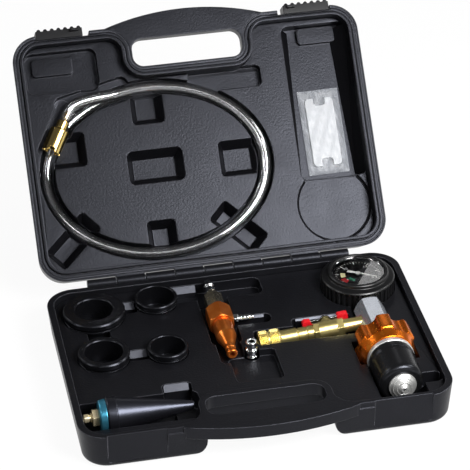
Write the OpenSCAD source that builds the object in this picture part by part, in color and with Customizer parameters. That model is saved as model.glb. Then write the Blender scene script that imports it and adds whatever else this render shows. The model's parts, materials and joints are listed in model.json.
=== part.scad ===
// Coolant vacuum refill kit in its moulded carry case.
// Origin: centre of the base's underside. +Z up, +Y towards the hinge, +X to the gauge's side.
// The lid is drawn closed and then turned open about the hinge, where it rests.

/* [Case] */
// Width of the case at the rim
case_w = 360; // [350:1:380]
// Depth of the case at the rim, without the handle
case_d = 254; // [250:1:270]
// Height of the base from the table to its rim
base_h = 37; // [36:0.5:42]
// Height of the lid from its rim to its top
lid_h = 42; // [41:0.5:48]
// Radius of the case's corners in plan
corner_r = 28; // [20:1:34]
// Round of the outer bottom edge
edge_r = 6; // [3:0.5:8]
// Inward lean of the outer wall over its height
draft = 3; // [1:0.5:3.5]
// Thickness of the double wall's skins
wall = 1.8; // [1.5:0.1:2]
// Width of the flat rim
rim_w = 7; // [6:0.5:8]
// Drop from the base's rim to the tray
tray_drop = 7; // [5:0.5:8]
// Drop from the lid's rim to its tray
lid_drop = 12; // [11.5:0.5:13]
// Width of the lid's locating tongue
tongue_w = 3; // [2:0.5:3.5]
// Height of the lid's locating tongue
tongue_h = 3; // [2:0.5:4]

/* [Handle] */
// Width of the finger hole
hole_w = 114; // [100:1:118]
// Depth of the finger hole, front to back
hole_d = 29; // [25:1:32]
// Width of the grip where it leaves the case
handle_w = 164; // [150:1:166]
// Reach of the grip in front of the case
handle_reach = 13; // [8:1:18]
// Thickness of the grip in each half
bar_h = 13; // [10:0.5:16]
// Round of the feet beside the grip
foot_r = 16; // [8:1:18]

/* [Hinge and latches] */
// Length of the row of knuckles
hinge_len = 270; // [240:2:280]
// Number of knuckles, shared out between base and lid
knuckle_n = 9; // [5:2:13]
// Radius of a knuckle
knuckle_r = 5; // [4.5:0.1:5.6]
// Diameter of the hinge pin
pin_d = 4; // [3:0.1:4.6]
// Hinge axis behind the case's back edge
hinge_back = 6.2; // [6:0.1:7]
// Hinge axis below the rim
hinge_drop = 2; // [1:0.1:3]
// Opening angle of the lid at rest
lid_open = 130; // [100:1:134]
// Width of a sliding latch
latch_w = 48; // [40:1:50]
// Distance of a latch's middle from the case's middle
latch_x = 129; // [126:0.5:131]
// Travel of a latch
latch_travel = 6; // [4:0.5:7]
// Finger ribs on a latch
latch_ribs = 7; // [4:1:9]

/* [Filler head] */
// Head axis to the right of the case's middle
head_x = 131.5; // [129:0.5:132]
// Diameter of the rubber expander plug
plug_d = 45; // [40:0.5:46]
// Length of the rubber expander plug
plug_len = 43; // [36:0.5:44]
// Diameter over the clamp knob's lobes
knob_d = 58; // [50:0.5:58]
// Number of lobes on the clamp knob
knob_lobes = 6; // [5:1:8]
// Width across flats of the head's hexagon
head_af = 27; // [24:0.5:28]
// Length of the head's hexagon
head_len = 51; // [46:0.5:52]
// Diameter of the stem that runs through the plug
stem_d = 15; // [12:0.5:16]

/* [Gauge] */
// Diameter of the gauge's rubber boot
boot_d = 74; // [70:0.5:74]
// Height of the gauge's rubber boot
boot_h = 34; // [31:0.5:34]
// Diameter of the gauge's case
gauge_d = 56; // [52:0.5:57]
// Diameter of the visible dial
dial_d = 52; // [48:0.5:53]
// Grip ribs around the boot
boot_ribs = 40; // [24:2:48]

/* [Valve arm] */
// Downward lean of the valve arm
arm_tilt = 4.5; // [2:0.5:5]
// Diameter of the arm's tube
arm_d = 14; // [12:0.5:14.5]
// Diameter of the coupler's collar
collar_d = 20; // [18.5:0.5:21]
// Length of the coupler's collar
collar_len = 22; // [18:0.5:22]
// Travel of the coupler's collar
collar_travel = 4; // [2:0.5:5]
// Length of the lever over its sleeves
lever_len = 46; // [40:1:48]
// Diameter of the valve's ball
ball_d = 12; // [10:0.5:12.5]

/* [Venturi] */
// Width across flats of the venturi's hexagon
venturi_af = 24; // [20:0.5:24.5]
// Length of the venturi's hexagon
venturi_hex_len = 25; // [22:1:30]
// Diameter of the venturi's round part
venturi_d = 20; // [17:0.5:21]
// Diameter of the venturi's throat
throat_d = 5; // [3:0.5:6]

/* [Cone adaptor] */
// Diameter of the rubber cone's wide end
cone_d = 36; // [32:0.5:37]
// Diameter of the rubber cone's tip
cone_tip_d = 8; // [7.5:0.5:12]
// Length of the rubber cone
cone_len = 84; // [78:1:84]

/* [Rubber adaptors] */
// Outer diameter of the large adaptor
large_od = 62; // [58:0.5:62]
// Outer diameter of the back cup
back_cup_od = 43; // [38:0.5:44]
// Outer diameter of the medium adaptor
medium_od = 51; // [46:0.5:52]
// Outer diameter of the front cup
front_cup_od = 40; // [36:0.5:42]
// Bore of the two ring adaptors
adaptor_bore = 37; // [32:0.5:38]
// Height of the adaptors
adaptor_h = 24; // [20:0.5:26]

/* [Hose] */
// Outer diameter of the hose
hose_d = 12; // [10:0.5:12]
// Bore of the hose
hose_bore = 8; // [6:0.5:9]
// Half length of the hose's oval
oval_a = 113; // [110:1:114]
// Half width of the hose's oval
oval_b = 85.7; // [84:0.1:86]
// Diameter of the hose's brass coupling
coupling_d = 20; // [16:0.5:21]

/* [Bag] */
// Width of the bag
bag_w = 43; // [38:1:46]
// Length of the bag
bag_len = 89; // [80:1:92]
// Thickness of the filled bag
bag_t = 4.4; // [4.2:0.1:5]

/* [Hidden] */
$fn = 64;

// Running clearance, seat clearance and the small step that lets a cut pass a face
fit = 0.3;
slack = 0.4;
eps = 0.05;

// Heights and edges that follow from the case
front_y = -case_d / 2;
tray_z = base_h - tray_drop;
lid_gap = 0.2;
lid_z = base_h + lid_gap;
lid_tray_z = lid_z + lid_drop;
lid_top_z = lid_z + lid_h;
hole_back = 43;
hole_r = 11;
hole_lead = 26;
hole_y = front_y + hole_back - hole_d / 2;
tongue_in = rim_w + 0.5;
hinge_y = case_d / 2 + hinge_back;
hinge_z = base_h - hinge_drop;
knuckle_len = hinge_len / knuckle_n;

// Places of the tools in the base, measured from the case's edges and its middle
head_z = 2 * wall + fit + slack + knob_d / 2;
plug_front = front_y + 27;
plug_back = plug_front + plug_len;
washer_t = 4;
knob_front = plug_back + washer_t + fit;
knob_len = 36;
knob_skirt = 10;
hex_front = knob_front + knob_len + fit;
hex_back = hex_front + head_len;
arm_y = hex_front + 28;
gauge_y = hex_back + 7 + boot_d / 2;
boot_z = head_z - boot_h / 2;
boot_top = boot_z + boot_h;
lens_t = 2;
dial_z = boot_top - 7;
needle_z = dial_z + 1.6;
needle_rest = -31;

// Lengths along the valve arm, counted from the head's axis
nipple_s = 9.3;
valve_s = 31;
valve_len = 30;
ball_s = valve_s + valve_len / 2;
coupler_s = valve_s + valve_len;
collar_s = 94;
coupler_end = collar_s + collar_len - 2;
lever_y = 15;
lever_t = 2;

// Venturi along Y
venturi_x = -15.5;
venturi_z = 33;
venturi_hex_y = 36;
nipple_in = 9;
adaptor_y = venturi_hex_y + venturi_hex_len;
air_plug_y = adaptor_y + 31;

// Spare nipple, upright
spare_at = [5, -6];
spare_z = 14;

// Cone adaptor along X
cone_x = 30.5 - case_w / 2;
cone_y = front_y + 45;
cone_z = 29;

// Rubber adaptors: place in plan, outer diameter, bore
adaptor_top = base_h + 1;
adaptor_z = adaptor_top - adaptor_h;
large_at = [44.5 - case_w / 2, case_d / 2 - 42];
back_cup_at = [108.5 - case_w / 2, case_d / 2 - 32.5];
medium_at = [43 - case_w / 2, 11];
front_cup_at = [105 - case_w / 2, 7];

// Hose route in the lid, closed: an oval, one turn near the rim and half a turn under it
oval_x = -46;
oval_y = 21.3;
upper_z = lid_z + 16.3;
layer_step = hose_d + 0.6;
lower_z = upper_z + layer_step;
trench_z = lower_z + hose_d / 2 + slack;
coupling_z = lower_z - hose_d / 2 - coupling_d / 2 - 0.5;
hose_start = [-135, -38];
lead_dir = [0.5, -0.866];
join_angle = 256;
dive_angle = 400;
under_angle = 570;
end_angle = 735;
coupling_turn = atan2(-lead_dir[1], -lead_dir[0]);
coupling_len = 26;

// Bag in the lid's right channel
channel_z = lid_z + 32;
bag_at = [134, 0];
bag_z = channel_z - bag_t - slack;
bag_skin = 0.8;
bag_turn = -0.5;

function arc(cx, cy, r, from, to, n) =
    [for (i = [0 : n]) let (t = from + (to - from) * i / n) [cx + r * cos(t), cy + r * sin(t)]];
function oval_point(a, b, t) = [oval_x + a * cos(t), oval_y + b * sin(t)];
function smooth(t) = let (u = min(1, max(0, t))) u * u * (3 - 2 * u);

// Shared shapes

module round_rect(w, d, r) {
    square([w - 2 * r, d], center = true);
    square([w, d - 2 * r], center = true);
    for (sx = [-1, 1], sy = [-1, 1])
        translate([sx * (w / 2 - r), sy * (d / 2 - r)]) circle(r);
}

module pocket(x, y, w, d, z, r = 5, turn = 0, top = base_h + 10) {
    translate([x, y, z]) rotate(turn)
        linear_extrude(top - z) round_rect(w, d, min(r, w / 2 - eps, d / 2 - eps));
}

// A round bar along +X from x0 to x1
module bar_x(x0, x1, r) {
    translate([x0, 0, 0]) rotate([0, 90, 0]) cylinder(h = x1 - x0, r = r);
}

module hex_x(x0, x1, af, turn = 0) {
    translate([x0, 0, 0]) rotate([0, 90, 0]) rotate(turn)
        cylinder(h = x1 - x0, r = af / sqrt(3), $fn = 6);
}

// Stands a shape drawn along X on the Y axis, at the given place
module along_y(x, z) {
    translate([x, 0, z]) rotate(90) children();
}

// A ring-shaped solid of revolution about X from points [x, r]
module turned_x(points) {
    rotate([0, 90, 0]) rotate_extrude()
        polygon([for (p = points) [p[1], p[0]]]);
}

// Half of an outer wall: flat underside, round edge, leaning side
function wall_side(run, h) = concat(
    [[0, 0]],
    arc(run - draft - edge_r, edge_r, edge_r, -90, 0, 5),
    [[run, h], [0, h]]);

function mirrored(points) = [for (i = [len(points) - 1 : -1 : 0]) [-points[i][0], points[i][1]]];

module wall_section(half, h) {
    side = concat(arc(half - draft - edge_r, edge_r, edge_r, -90, 0, 5), [[half, h]]);
    polygon(concat(side, mirrored(side)));
}

module moulded_block(h) {
    inner_w = case_w - 2 * corner_r;
    inner_d = case_d - 2 * corner_r;
    translate([-inner_w / 2, 0, 0]) rotate([90, 0, 90])
        linear_extrude(inner_w) wall_section(case_d / 2, h);
    translate([0, inner_d / 2, 0]) rotate([90, 0, 0])
        linear_extrude(inner_d) wall_section(case_w / 2, h);
    for (sx = [-1, 1], sy = [-1, 1])
        translate([sx * inner_w / 2, sy * inner_d / 2, 0])
            rotate_extrude() polygon(wall_side(corner_r, h));
}

// Plan of the tray area, set in from the case's edge and from the finger hole
module tray_plan(inset) {
    difference() {
        round_rect(case_w - 2 * inset, case_d - 2 * inset, corner_r - inset);
        translate([0, front_y]) round_rect(hole_w + 2 * inset, 2 * hole_back + 2 * inset, hole_r + inset);
        for (s = [0, 1]) mirror([s, 0]) translate([hole_w / 2 + inset, front_y + inset])
            corner_waste(hole_lead - inset);
    }
}

// What a quarter round takes off the corner of a plan that lies to the right of and behind the origin
module corner_waste(r) {
    difference() {
        translate([-1, -1]) square(r + 1);
        translate([r, r]) circle(r);
    }
}

// Plan of the grip: a shallow bow in front, square into the case at the back
module handle_plan() {
    bow = (pow(handle_w / 2, 2) + pow(handle_reach, 2)) / (2 * handle_reach);
    sweep = asin(handle_w / 2 / bow);
    polygon(concat(
        arc(0, front_y - handle_reach + bow, bow, 270 - sweep, 270 + sweep, 16),
        [[handle_w / 2, front_y + corner_r], [-handle_w / 2, front_y + corner_r]]));
}

// Space under the grip, seen from the front: straight sides that round off to the feet
bay_w = hole_w + 8;
bay_back = hole_back + 4;

module grip_bay() {
    foot = arc(-bay_w / 2 - foot_r, foot_r, foot_r, -90, 0, 6);
    translate([0, front_y + bay_back, 0]) rotate([90, 0, 0]) linear_extrude(bay_back + 30)
        polygon(concat(foot, [[-bay_w / 2, base_h - bar_h], [bay_w / 2, base_h - bar_h]], mirrored(foot),
            [[bay_w / 2 + foot_r, -1], [-bay_w / 2 - foot_r, -1]]));
}

// Room inside one half's walls, drawn from its underside: it keeps clear of the rounded feet
module shell_room(z0, z1, inset) {
    step = foot_r + wall;
    translate([0, 0, step]) linear_extrude(z1 - step) tray_plan(inset);
    translate([0, 0, z0]) linear_extrude(step - z0 + eps) difference() {
        tray_plan(inset);
        translate([0, front_y])
            square([bay_w + 2 * (foot_r + inset - 1), 2 * (bay_back + inset - 1)], center = true);
    }
}

module finger_hole(z, h) {
    translate([0, hole_y, z]) linear_extrude(h) round_rect(hole_w, hole_d, hole_r);
}

// Knuckles of one half: every other length of the row, with a web back to the wall
module knuckles(first, web_z, web_h) {
    for (i = [first : 2 : knuckle_n - 1]) {
        x0 = -hinge_len / 2 + i * knuckle_len + fit;
        len = knuckle_len - 2 * fit;
        translate([x0, hinge_y, hinge_z]) rotate([0, 90, 0]) cylinder(h = len, r = knuckle_r);
        translate([x0, case_d / 2 - draft, web_z]) cube([len, hinge_back + draft, web_h]);
    }
}

module hinge_bore(d) {
    translate([-hinge_len / 2 - 1, hinge_y, hinge_z]) rotate([0, 90, 0])
        cylinder(h = hinge_len + 2, d = d);
}

// Turns a half that is drawn from its underside into the lid, closed
module lid_flip() {
    translate([0, 0, lid_top_z]) mirror([0, 0, 1]) children();
}

module lid_pose() {
    translate([0, hinge_y, hinge_z]) rotate([-lid_open, 0, 0])
        translate([0, -hinge_y, -hinge_z]) children();
}

// Case

module adaptor_pocket(at, d, g) {
    translate([at[0], at[1], adaptor_z - slack - g])
        cylinder(h = base_h, d = d + 2 * slack + 2 * g);
}

// A trough for a round piece lying along Y: half round below its axis, open above
module trough_y(x, z, y0, y1, r) {
    translate([x, y1, z]) rotate([90, 0, 0]) cylinder(h = y1 - y0, r = r);
    translate([x - r, y0, z]) cube([2 * r, y1 - y0, base_h]);
}

// All hollows of the base's tray. A growth of one wall gives the skin's other side.
module base_pockets(g) {
    adaptor_pocket(large_at, large_od, g);
    adaptor_pocket(back_cup_at, back_cup_od, g);
    adaptor_pocket(medium_at, medium_od, g);
    adaptor_pocket(front_cup_at, front_cup_od, g);
    pocket(76 - case_w / 2, case_d / 2 - 35, 26 + 2 * g, 20 + 2 * g, 16 - g);
    pocket(44 - case_w / 2, 48, 22 + 2 * g, 26 + 2 * g, 18 - g);
    pocket(75 - case_w / 2, 9, 26 + 2 * g, 18 + 2 * g, 16 - g);
    pocket(-12, case_d / 2 - 23, 98 + 2 * g, 29 + 2 * g, 18 - g, 7);
    pocket(62 - case_w / 2, cone_y, 117 + 2 * g, cone_d + 8 + 2 * g, cone_z - cone_d / 2 - slack - g, 8);
    pocket(103 - case_w / 2, cone_y + 28, 28 + 2 * g, 18 + 2 * g, 14 - g);
    pocket(venturi_x, 51, 30 + 2 * g, 84 + 2 * g, venturi_z - venturi_af / sqrt(3) - slack - g);
    pocket(venturi_x, 103, 24 + 2 * g, 29 + 2 * g, venturi_z - 10.3 - g);
    pocket(venturi_x, -6, 24 + 2 * g, 36 + 2 * g, venturi_z - venturi_d / 2 - slack - g);
    pocket(12, venturi_hex_y + nipple_in, 46 + 2 * g, 15 + 2 * g, venturi_z - 15 - g, 6);
    pocket(4, -33, 46 + 2 * g, 50 + 2 * g, tray_z - 8 - g);
    pocket(spare_at[0], spare_at[1], 15 + 2 * g, 15 + 2 * g, spare_z - fit - g, 7);
    pocket(head_x - 63.5, arm_y, 112 + 2 * g, 25 + 2 * g, 11 - g);
    pocket(head_x - 49.5, arm_y + 14, 58 + 2 * g, 22 + 2 * g, 5 - g);
    trough_y(head_x, head_z, knob_front - 2 - g, hex_front + 1 + g, knob_d / 2 + slack + g);
    trough_y(head_x, head_z, plug_front - 12 - g, knob_front - 1 + g, plug_d / 2 + 0.5 + slack + g);
    trough_y(head_x, head_z, hex_front - g, hex_back + 10 + g, head_af / sqrt(3) + slack + g);
    translate([head_x, gauge_y, boot_z - fit - g])
        cylinder(h = base_h, r = boot_d / 2 + slack + g);
    pocket(head_x + 30.5, front_y + 39, 22 + 2 * g, 16 + 2 * g, 14 - g, 6);
}

panel_x = latch_x - 2;
panel_w = 56;
panel_depth = 3;

module latch_panels() {
    for (s = [-1, 1]) {
        translate([s * panel_x - panel_w / 2, front_y - 1, -eps])
            cube([panel_w, panel_depth + 1, base_h + 1]);
        translate([s * (panel_x - panel_w / 2 - 7) - 8, front_y - 1, base_h - 6])
            cube([16, 3, 7]);
    }
}

// Outer skin of the base: an open tub with a broad rim, the grip and its share of the knuckles
module base_shell() {
    color("#1d1e20") difference() {
        union() {
            moulded_block(base_h);
            translate([0, 0, base_h - bar_h]) linear_extrude(bar_h) handle_plan();
            knuckles(0, hinge_z - knuckle_r, knuckle_r);
        }
        shell_room(wall, base_h + 1, rim_w);
        grip_bay();
        finger_hole(-1, base_h + 2);
        latch_panels();
        hinge_bore(pin_d + 0.1);
    }
}

// Inner skin of the base: a plate with a cup of one wall's thickness under every hollow
module base_tray() {
    color("#202123") difference() {
        union() {
            translate([0, 0, tray_z - wall]) linear_extrude(wall) tray_plan(rim_w + fit);
            intersection() {
                base_pockets(wall);
                shell_room(wall + fit, tray_z - eps, rim_w + fit);
            }
        }
        base_pockets(0);
    }
}

// Outline of the hose's oval, set out or in by a distance
module oval_plan(offset) {
    n = 64;
    polygon([for (i = [0 : n - 1]) oval_point(oval_a + offset, oval_b + offset, 360 * i / n)]);
}

pocket_lean = 7;

// A hollow of the lid, drawn closed: it opens downwards from its floor
module lid_pocket(x, y, w, d, floor_z, g, r = 5, turn = 0) {
    translate([x, y, lid_z - 1]) rotate(turn)
        linear_extrude(floor_z + g - lid_z + 1) round_rect(w + 2 * g, d + 2 * g, r + g);
}

// A hollow whose walls lean in from the tray's face to its floor
module leaning_prism(w, d, floor_z) {
    start_z = lid_tray_z - 1;
    slope = pocket_lean / (floor_z - start_z);
    low = w / 2 + slope * (start_z - lid_z + 2);
    high = w / 2 - slope * (floor_z + 1 - start_z);
    rotate([90, 0, 0]) linear_extrude(d, center = true)
        polygon([[-low, lid_z - 2], [low, lid_z - 2], [high, floor_z + 1], [-high, floor_z + 1]]);
}

module leaning_pocket(x, y, w, d, floor_z, g, r = 5, turn = 0) {
    intersection() {
        lid_pocket(x, y, w, d, floor_z, g, r, turn);
        translate([x, y, 0]) rotate(turn) leaning_prism(w + 2 * g, d + 2 * g + 1, floor_z + g);
        translate([x, y, 0]) rotate(turn + 90) leaning_prism(d + 2 * g, w + 2 * g + 1, floor_z + g);
    }
}

// A block that stands on the floor of a hollow, left solid behind
module lid_block(x, y, w, d, floor_z, h) {
    translate([x, y, floor_z - h]) linear_extrude(h + 1) round_rect(w, d, 4);
}

module hose_trench(g) {
    half = hose_d / 2 + 2.2 + g;
    translate([0, 0, lid_z - 1]) linear_extrude(trench_z + g - lid_z + 1) difference() {
        oval_plan(half);
        oval_plan(-half);
    }
}

module lid_pockets(g) {
    deep = lid_z + 30;
    hose_trench(g);
    leaning_pocket(-48, -47, 34, 42, deep, g);
    leaning_pocket(-137, -8, 42, 36, deep, g);
    leaning_pocket(40, 19, 42, 37, deep, g);
    leaning_pocket(-50, 92, 30, 36, deep, g);
    leaning_pocket(-141, 85, 58, 27, deep, g, 5, -42);
    leaning_pocket(29, 91, 58, 27, deep, g, 5, 45);
    leaning_pocket(-47, 18, 58, 35, deep, g, 7);
    lid_pocket(-140, -30, 26, 64, coupling_z + coupling_d / 2 + slack, g, 5, coupling_turn - 90);
    lid_pocket(-102, -58, 80, 26, upper_z + hose_d / 2 + slack, g, 8, -13);
    difference() {
        lid_pocket(-130, -90, 74, 42, lid_z + 24, g, 8);
        if (g == 0) lid_block(-139, -97, 42, 18, lid_z + 24, 6);
    }
    lid_pocket(36, -64, 76, 22, lid_z + 24, g);
    difference() {
        lid_pocket(136, -30, 70, 162, channel_z, g, 8);
        if (g == 0) lid_block(140, -102, 40, 17, channel_z, 6);
    }
    translate([head_x, gauge_y, lid_z - 1]) cylinder(h = 17 + g, r = boot_d / 2 + 2 + g);
}

// Bed of a latch in the lid's front wall, with the rail that it runs on
bed_depth = 5;
bed_z = lid_z + 1;
bed_h = 19;
rail_h = 4;
rail_z = bed_z + bed_h / 2 - rail_h / 2;
rail_d = 2;

module latch_bed(s) {
    span = latch_w + latch_travel + 2 * slack;
    translate([s * (latch_x - latch_travel / 2) - span / 2, front_y - 20, bed_z - 10])
        cube([span, 20 + bed_depth, bed_h + 10]);
}

module latch_rail(s) {
    span = latch_w + latch_travel + 2 * slack;
    translate([s * (latch_x - latch_travel / 2) - span / 2 - eps, front_y + bed_depth - rail_d, rail_z])
        cube([span + 2 * eps, rail_d + eps, rail_h]);
}

// A groove that runs round the lid's rim, from one inset to another
module rim_groove(from, to, depth) {
    translate([0, 0, lid_z - 1]) linear_extrude(depth + 1) difference() {
        tray_plan(from);
        tray_plan(to);
    }
}

// Outer skin of the lid: a tub with a flat rim, the tongue, the grip and its share of the knuckles
module lid_outer() {
    difference() {
        union() {
            lid_flip() moulded_block(lid_h);
            translate([0, 0, lid_z]) linear_extrude(bar_h) handle_plan();
            translate([0, 0, lid_z - tongue_h]) linear_extrude(tongue_h + 1) tray_plan(tongue_in);
            knuckles(1, lid_z, knuckle_r + 3);
        }
        lid_flip() shell_room(wall, lid_h + tongue_h + 1, tongue_in + tongue_w);
        lid_flip() translate([0, 0, lid_h - base_h]) grip_bay();
        lid_flip() grip_bay();
        finger_hole(lid_z - tongue_h - 1, lid_h + tongue_h + 2);
        for (s = [-1, 1]) latch_bed(s);
        rim_groove(tongue_in - 1.2, tongue_in, 1.6);
        rim_groove(2.2, 3, 0.8);
        hinge_bore(pin_d + 2 * fit);
    }
    for (s = [-1, 1]) latch_rail(s);
}

module lid_shell() {
    color("#1d1e20") lid_pose() lid_outer();
}

// Inner skin of the lid, with the hose's trench and the hollows over the tools
module lid_tray() {
    inset = tongue_in + tongue_w + fit;
    color("#232427") lid_pose() difference() {
        union() {
            translate([0, 0, lid_tray_z]) linear_extrude(wall) tray_plan(inset);
            intersection() {
                lid_pockets(wall);
                lid_flip() shell_room(wall + fit, lid_h - lid_drop - eps, inset);
            }
        }
        lid_pockets(0);
    }
}

module hinge_pin() {
    color("silver") translate([-hinge_len / 2, hinge_y, hinge_z]) rotate([0, 90, 0])
        cylinder(h = hinge_len, d = pin_d);
}

latch_t = 11;

// Sliding latch: body on the rail, finger ribs in front, hook below the parting line
module latch(s) {
    body_y = front_y + bed_depth - slack - latch_t;
    rib_pitch = latch_w / latch_ribs;
    hook_w = 8;
    difference() {
        union() {
            translate([s * latch_x - latch_w / 2, body_y + 2, bed_z])
                cube([latch_w, latch_t - 2, bed_h - slack]);
            for (i = [0 : latch_ribs - 1])
                translate([s * latch_x - latch_w / 2 + (i + 0.5) * rib_pitch, body_y + 2, bed_z])
                    cylinder(h = bed_h - slack, r = rib_pitch * 0.3);
            translate([s * (latch_x - latch_w / 2 + hook_w) - hook_w / 2, body_y + 3, bed_z - 6])
                cube([hook_w, 2.6, 6 + eps]);
        }
        translate([s * latch_x - latch_w / 2 - 1, front_y + bed_depth - rail_d - slack, rail_z - slack])
            cube([latch_w + 2, rail_d + 2, rail_h + 2 * slack]);
    }
}

module latch_left() { color("#2a2b2d") lid_pose() latch(-1); }
module latch_right() { color("#2a2b2d") lid_pose() latch(1); }

// Filler head

module arm_pose() {
    translate([head_x, arm_y, head_z]) rotate([0, -arm_tilt, 0]) children();
}

module head_body() {
    color("#c9ccd0") difference() {
        along_y(head_x, head_z) difference() {
            intersection() {
                hex_x(hex_front, hex_back, head_af, 30);
                turned_x([[hex_front, 0], [hex_front, head_af / 2 - 0.5], [hex_front + 2, head_af / sqrt(3)],
                    [hex_back - 3, head_af / sqrt(3)], [hex_back, head_af / 2 - 1.5], [hex_back, 0]]);
            }
            bar_x(hex_front - 1, hex_back + 1, 4);
            bar_x(hex_back - 8, hex_back + 1, 5 + fit);
        }
        arm_pose() bar_x(-head_af, -nipple_s + slack, arm_d / 2 - 0.5 + slack);
        arm_pose() bar_x(-nipple_s, 0, 3);
    }
}

module plug_stem() {
    color("#b9bcc0") along_y(head_x, head_z) difference() {
        bar_x(plug_front + 2, hex_front - fit, stem_d / 2);
        bar_x(plug_front, hex_front, 4);
    }
}

module expander_plug() {
    r = plug_d / 2;
    color("#1b1b1c") along_y(head_x, head_z) turned_x(concat(
        [[plug_front, stem_d / 2 + fit]],
        arc(plug_front + 5, r - 6, 5, 180, 90, 5),
        [[plug_back - 8, r - 0.4], [plug_back - 8, r], [plug_back, r], [plug_back, stem_d / 2 + fit]]));
}

module clamp_washer() {
    color("#d5d7da") along_y(head_x, head_z) difference() {
        bar_x(plug_back + eps, plug_back + washer_t, plug_d / 2 + 0.5);
        bar_x(plug_back - 1, plug_back + washer_t + 1, stem_d / 2 + fit);
    }
}

module end_cap() {
    cap_r = 13.5;
    y = plug_front;
    color("#d8dadd") along_y(head_x, head_z) difference() {
        turned_x([[y - 9.5, 0], [y - 9.5, 3], [y - 8.5, 4], [y - 7, 5.2], [y - 6, 8.5], [y - 3, 12],
            [y - 1.5, cap_r], [y - fit, cap_r], [y - fit, stem_d / 2 + fit],
            [y + 1.6, stem_d / 2 - 1], [y + 1.6, 0]]);
        bar_x(y - 10, y + 2, 1.6);
    }
}

module clamp_knob() {
    r = knob_d / 2;
    y = knob_front;
    back = knob_front + knob_len;
    flute_r = 9.5;
    flute_depth = 7;
    color("#c65a12") along_y(head_x, head_z) difference() {
        turned_x([[y, 0], [y, r - 6], [y + 1, r - 5], [y + knob_skirt, r - 2], [y + knob_skirt + 2, r],
            [back - 4, r], [back - 2, r - 2], [back - 2, 17], [back, 15.5], [back, 0]]);
        bar_x(y - 1, back + 1, stem_d / 2 + fit);
        for (i = [0 : knob_lobes - 1]) rotate([360 * (i + 0.5) / knob_lobes, 0, 0])
            translate([0, 0, r - flute_depth + flute_r]) bar_x(y + knob_skirt - 0.5, back + 1, flute_r);
    }
}

// Gauge

module gauge_stem() {
    end_y = gauge_y - gauge_d / 2 + 4;
    color("#c7b98c") along_y(head_x, head_z) difference() {
        union() {
            bar_x(hex_back - 7, end_y, 5);
            bar_x(hex_back + fit, hex_back + 6, 8);
            hex_x(hex_back + 1.5, hex_back + 5, 15);
        }
        bar_x(hex_back - 8, end_y + 1, 2);
    }
}

module gauge_case() {
    r = gauge_d / 2;
    color("#7d8084") difference() {
        translate([head_x, gauge_y, 0]) rotate_extrude()
            polygon([[0, boot_z + 3], [r, boot_z + 3], [r, dial_z + 4], [r - 1.6, dial_z + 4],
                [r - 1.6, boot_z + 4.6], [0, boot_z + 4.6]]);
        along_y(head_x, head_z) bar_x(gauge_y - gauge_d, gauge_y, 5 + fit);
    }
}

module gauge_boot() {
    r = boot_d / 2;
    lip_r = r - 6.5;
    inner = gauge_d / 2 + fit;
    color("#1a1a1b") difference() {
        translate([head_x, gauge_y, 0]) rotate_extrude() polygon(concat(
            [[0, boot_z], [r - 3, boot_z], [r, boot_z + 3], [r, boot_top - 7], [r - 1.2, boot_top - 5.4],
            [lip_r, boot_top - 4]],
            arc(lip_r - 2, boot_top - 2, 2, 0, 90, 4),
            [[dial_d / 2 + 1, boot_top], [dial_d / 2, boot_top - 1.2], [inner, boot_top - 1.6],
            [inner, boot_z + 3 - fit], [0, boot_z + 3 - fit]]));
        for (i = [0 : boot_ribs - 1]) translate([head_x, gauge_y, 0]) rotate(360 * (i + 0.5) / boot_ribs)
            translate([r - 2, -PI * r / boot_ribs * 0.45, boot_z + 4])
                cube([4, PI * r / boot_ribs * 0.9, boot_h - 11.5]);
        along_y(head_x, head_z) bar_x(gauge_y - boot_d, gauge_y - gauge_d / 2 + 1, 8 + slack);
    }
}

module gauge_movement() {
    color("#c9a24a") translate([head_x, gauge_y, 0]) {
        translate([-9, -7, head_z + 3]) cube([18, 14, 1.5]);
        translate([-9, -7, dial_z - 4.5]) cube([18, 14, 1.5]);
        for (sx = [-7, 7]) translate([sx, 4, head_z + 4]) cylinder(h = dial_z - head_z - 7.5, r = 1.2);
        translate([-4, -gauge_d / 2 + 4.3, head_z - 5]) cube([8, 9, 8]);
        translate([-3, -gauge_d / 2 + 12, head_z + 1]) cube([6, gauge_d / 2 - 14, 2]);
    }
}

module bourdon_tube() {
    color("#b8862e") translate([head_x, gauge_y, head_z]) rotate(-77.5)
        rotate_extrude(angle = 270) translate([19, -5]) square([2.4, 6]);
}

module gauge_dial() {
    color("#161616") translate([head_x, gauge_y, dial_z - 1]) difference() {
        cylinder(h = 1, r = gauge_d / 2 - 1.6 - fit);
        translate([0, 0, -1]) cylinder(h = 3, r = 1.5);
    }
}

module gauge_needle() {
    color("white") translate([head_x, gauge_y, 0]) rotate(needle_rest) {
        translate([0, 0, dial_z - 2.5]) cylinder(h = 4.2, r = 1);
        translate([0, 0, needle_z - 0.4]) cylinder(h = 1.2, r = 2.6);
        translate([0, 0, needle_z]) linear_extrude(0.6)
            polygon([[-11, -1.8], [-11, 1.8], [0, 1.3], [20, 0.4], [20, -0.4], [0, -1.3]]);
    }
}

module gauge_lens() {
    color([0.85, 0.9, 0.95, 0.35]) translate([head_x, gauge_y, boot_top - 1.6 - lens_t - 0.1])
        cylinder(h = lens_t, r = gauge_d / 2 - 1.6 - fit);
}

module gauge_bezel() {
    z = dial_z + fit / 2;
    color("#2c2d2f") translate([head_x, gauge_y, z]) difference() {
        cylinder(h = boot_top - 1.7 - lens_t - fit - z, r = gauge_d / 2 - 1.6 - fit);
        translate([0, 0, -1]) cylinder(h = 10, r = dial_d / 2 - 0.8);
    }
}

// Valve arm, drawn to the left of the head along -X

module valve_nipple() {
    color("#c3a24c") arm_pose() difference() {
        union() {
            bar_x(-valve_s + 8, -nipple_s, arm_d / 2 - 0.5);
            turned_x([[-valve_s + eps, 0], [-valve_s + eps, 7], [-head_af / 2 - 3, arm_d / 2 - 0.5],
                [-head_af / 2 - 3, 0]]);
        }
        bar_x(-valve_s - 1, 0, 3);
    }
}

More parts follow.
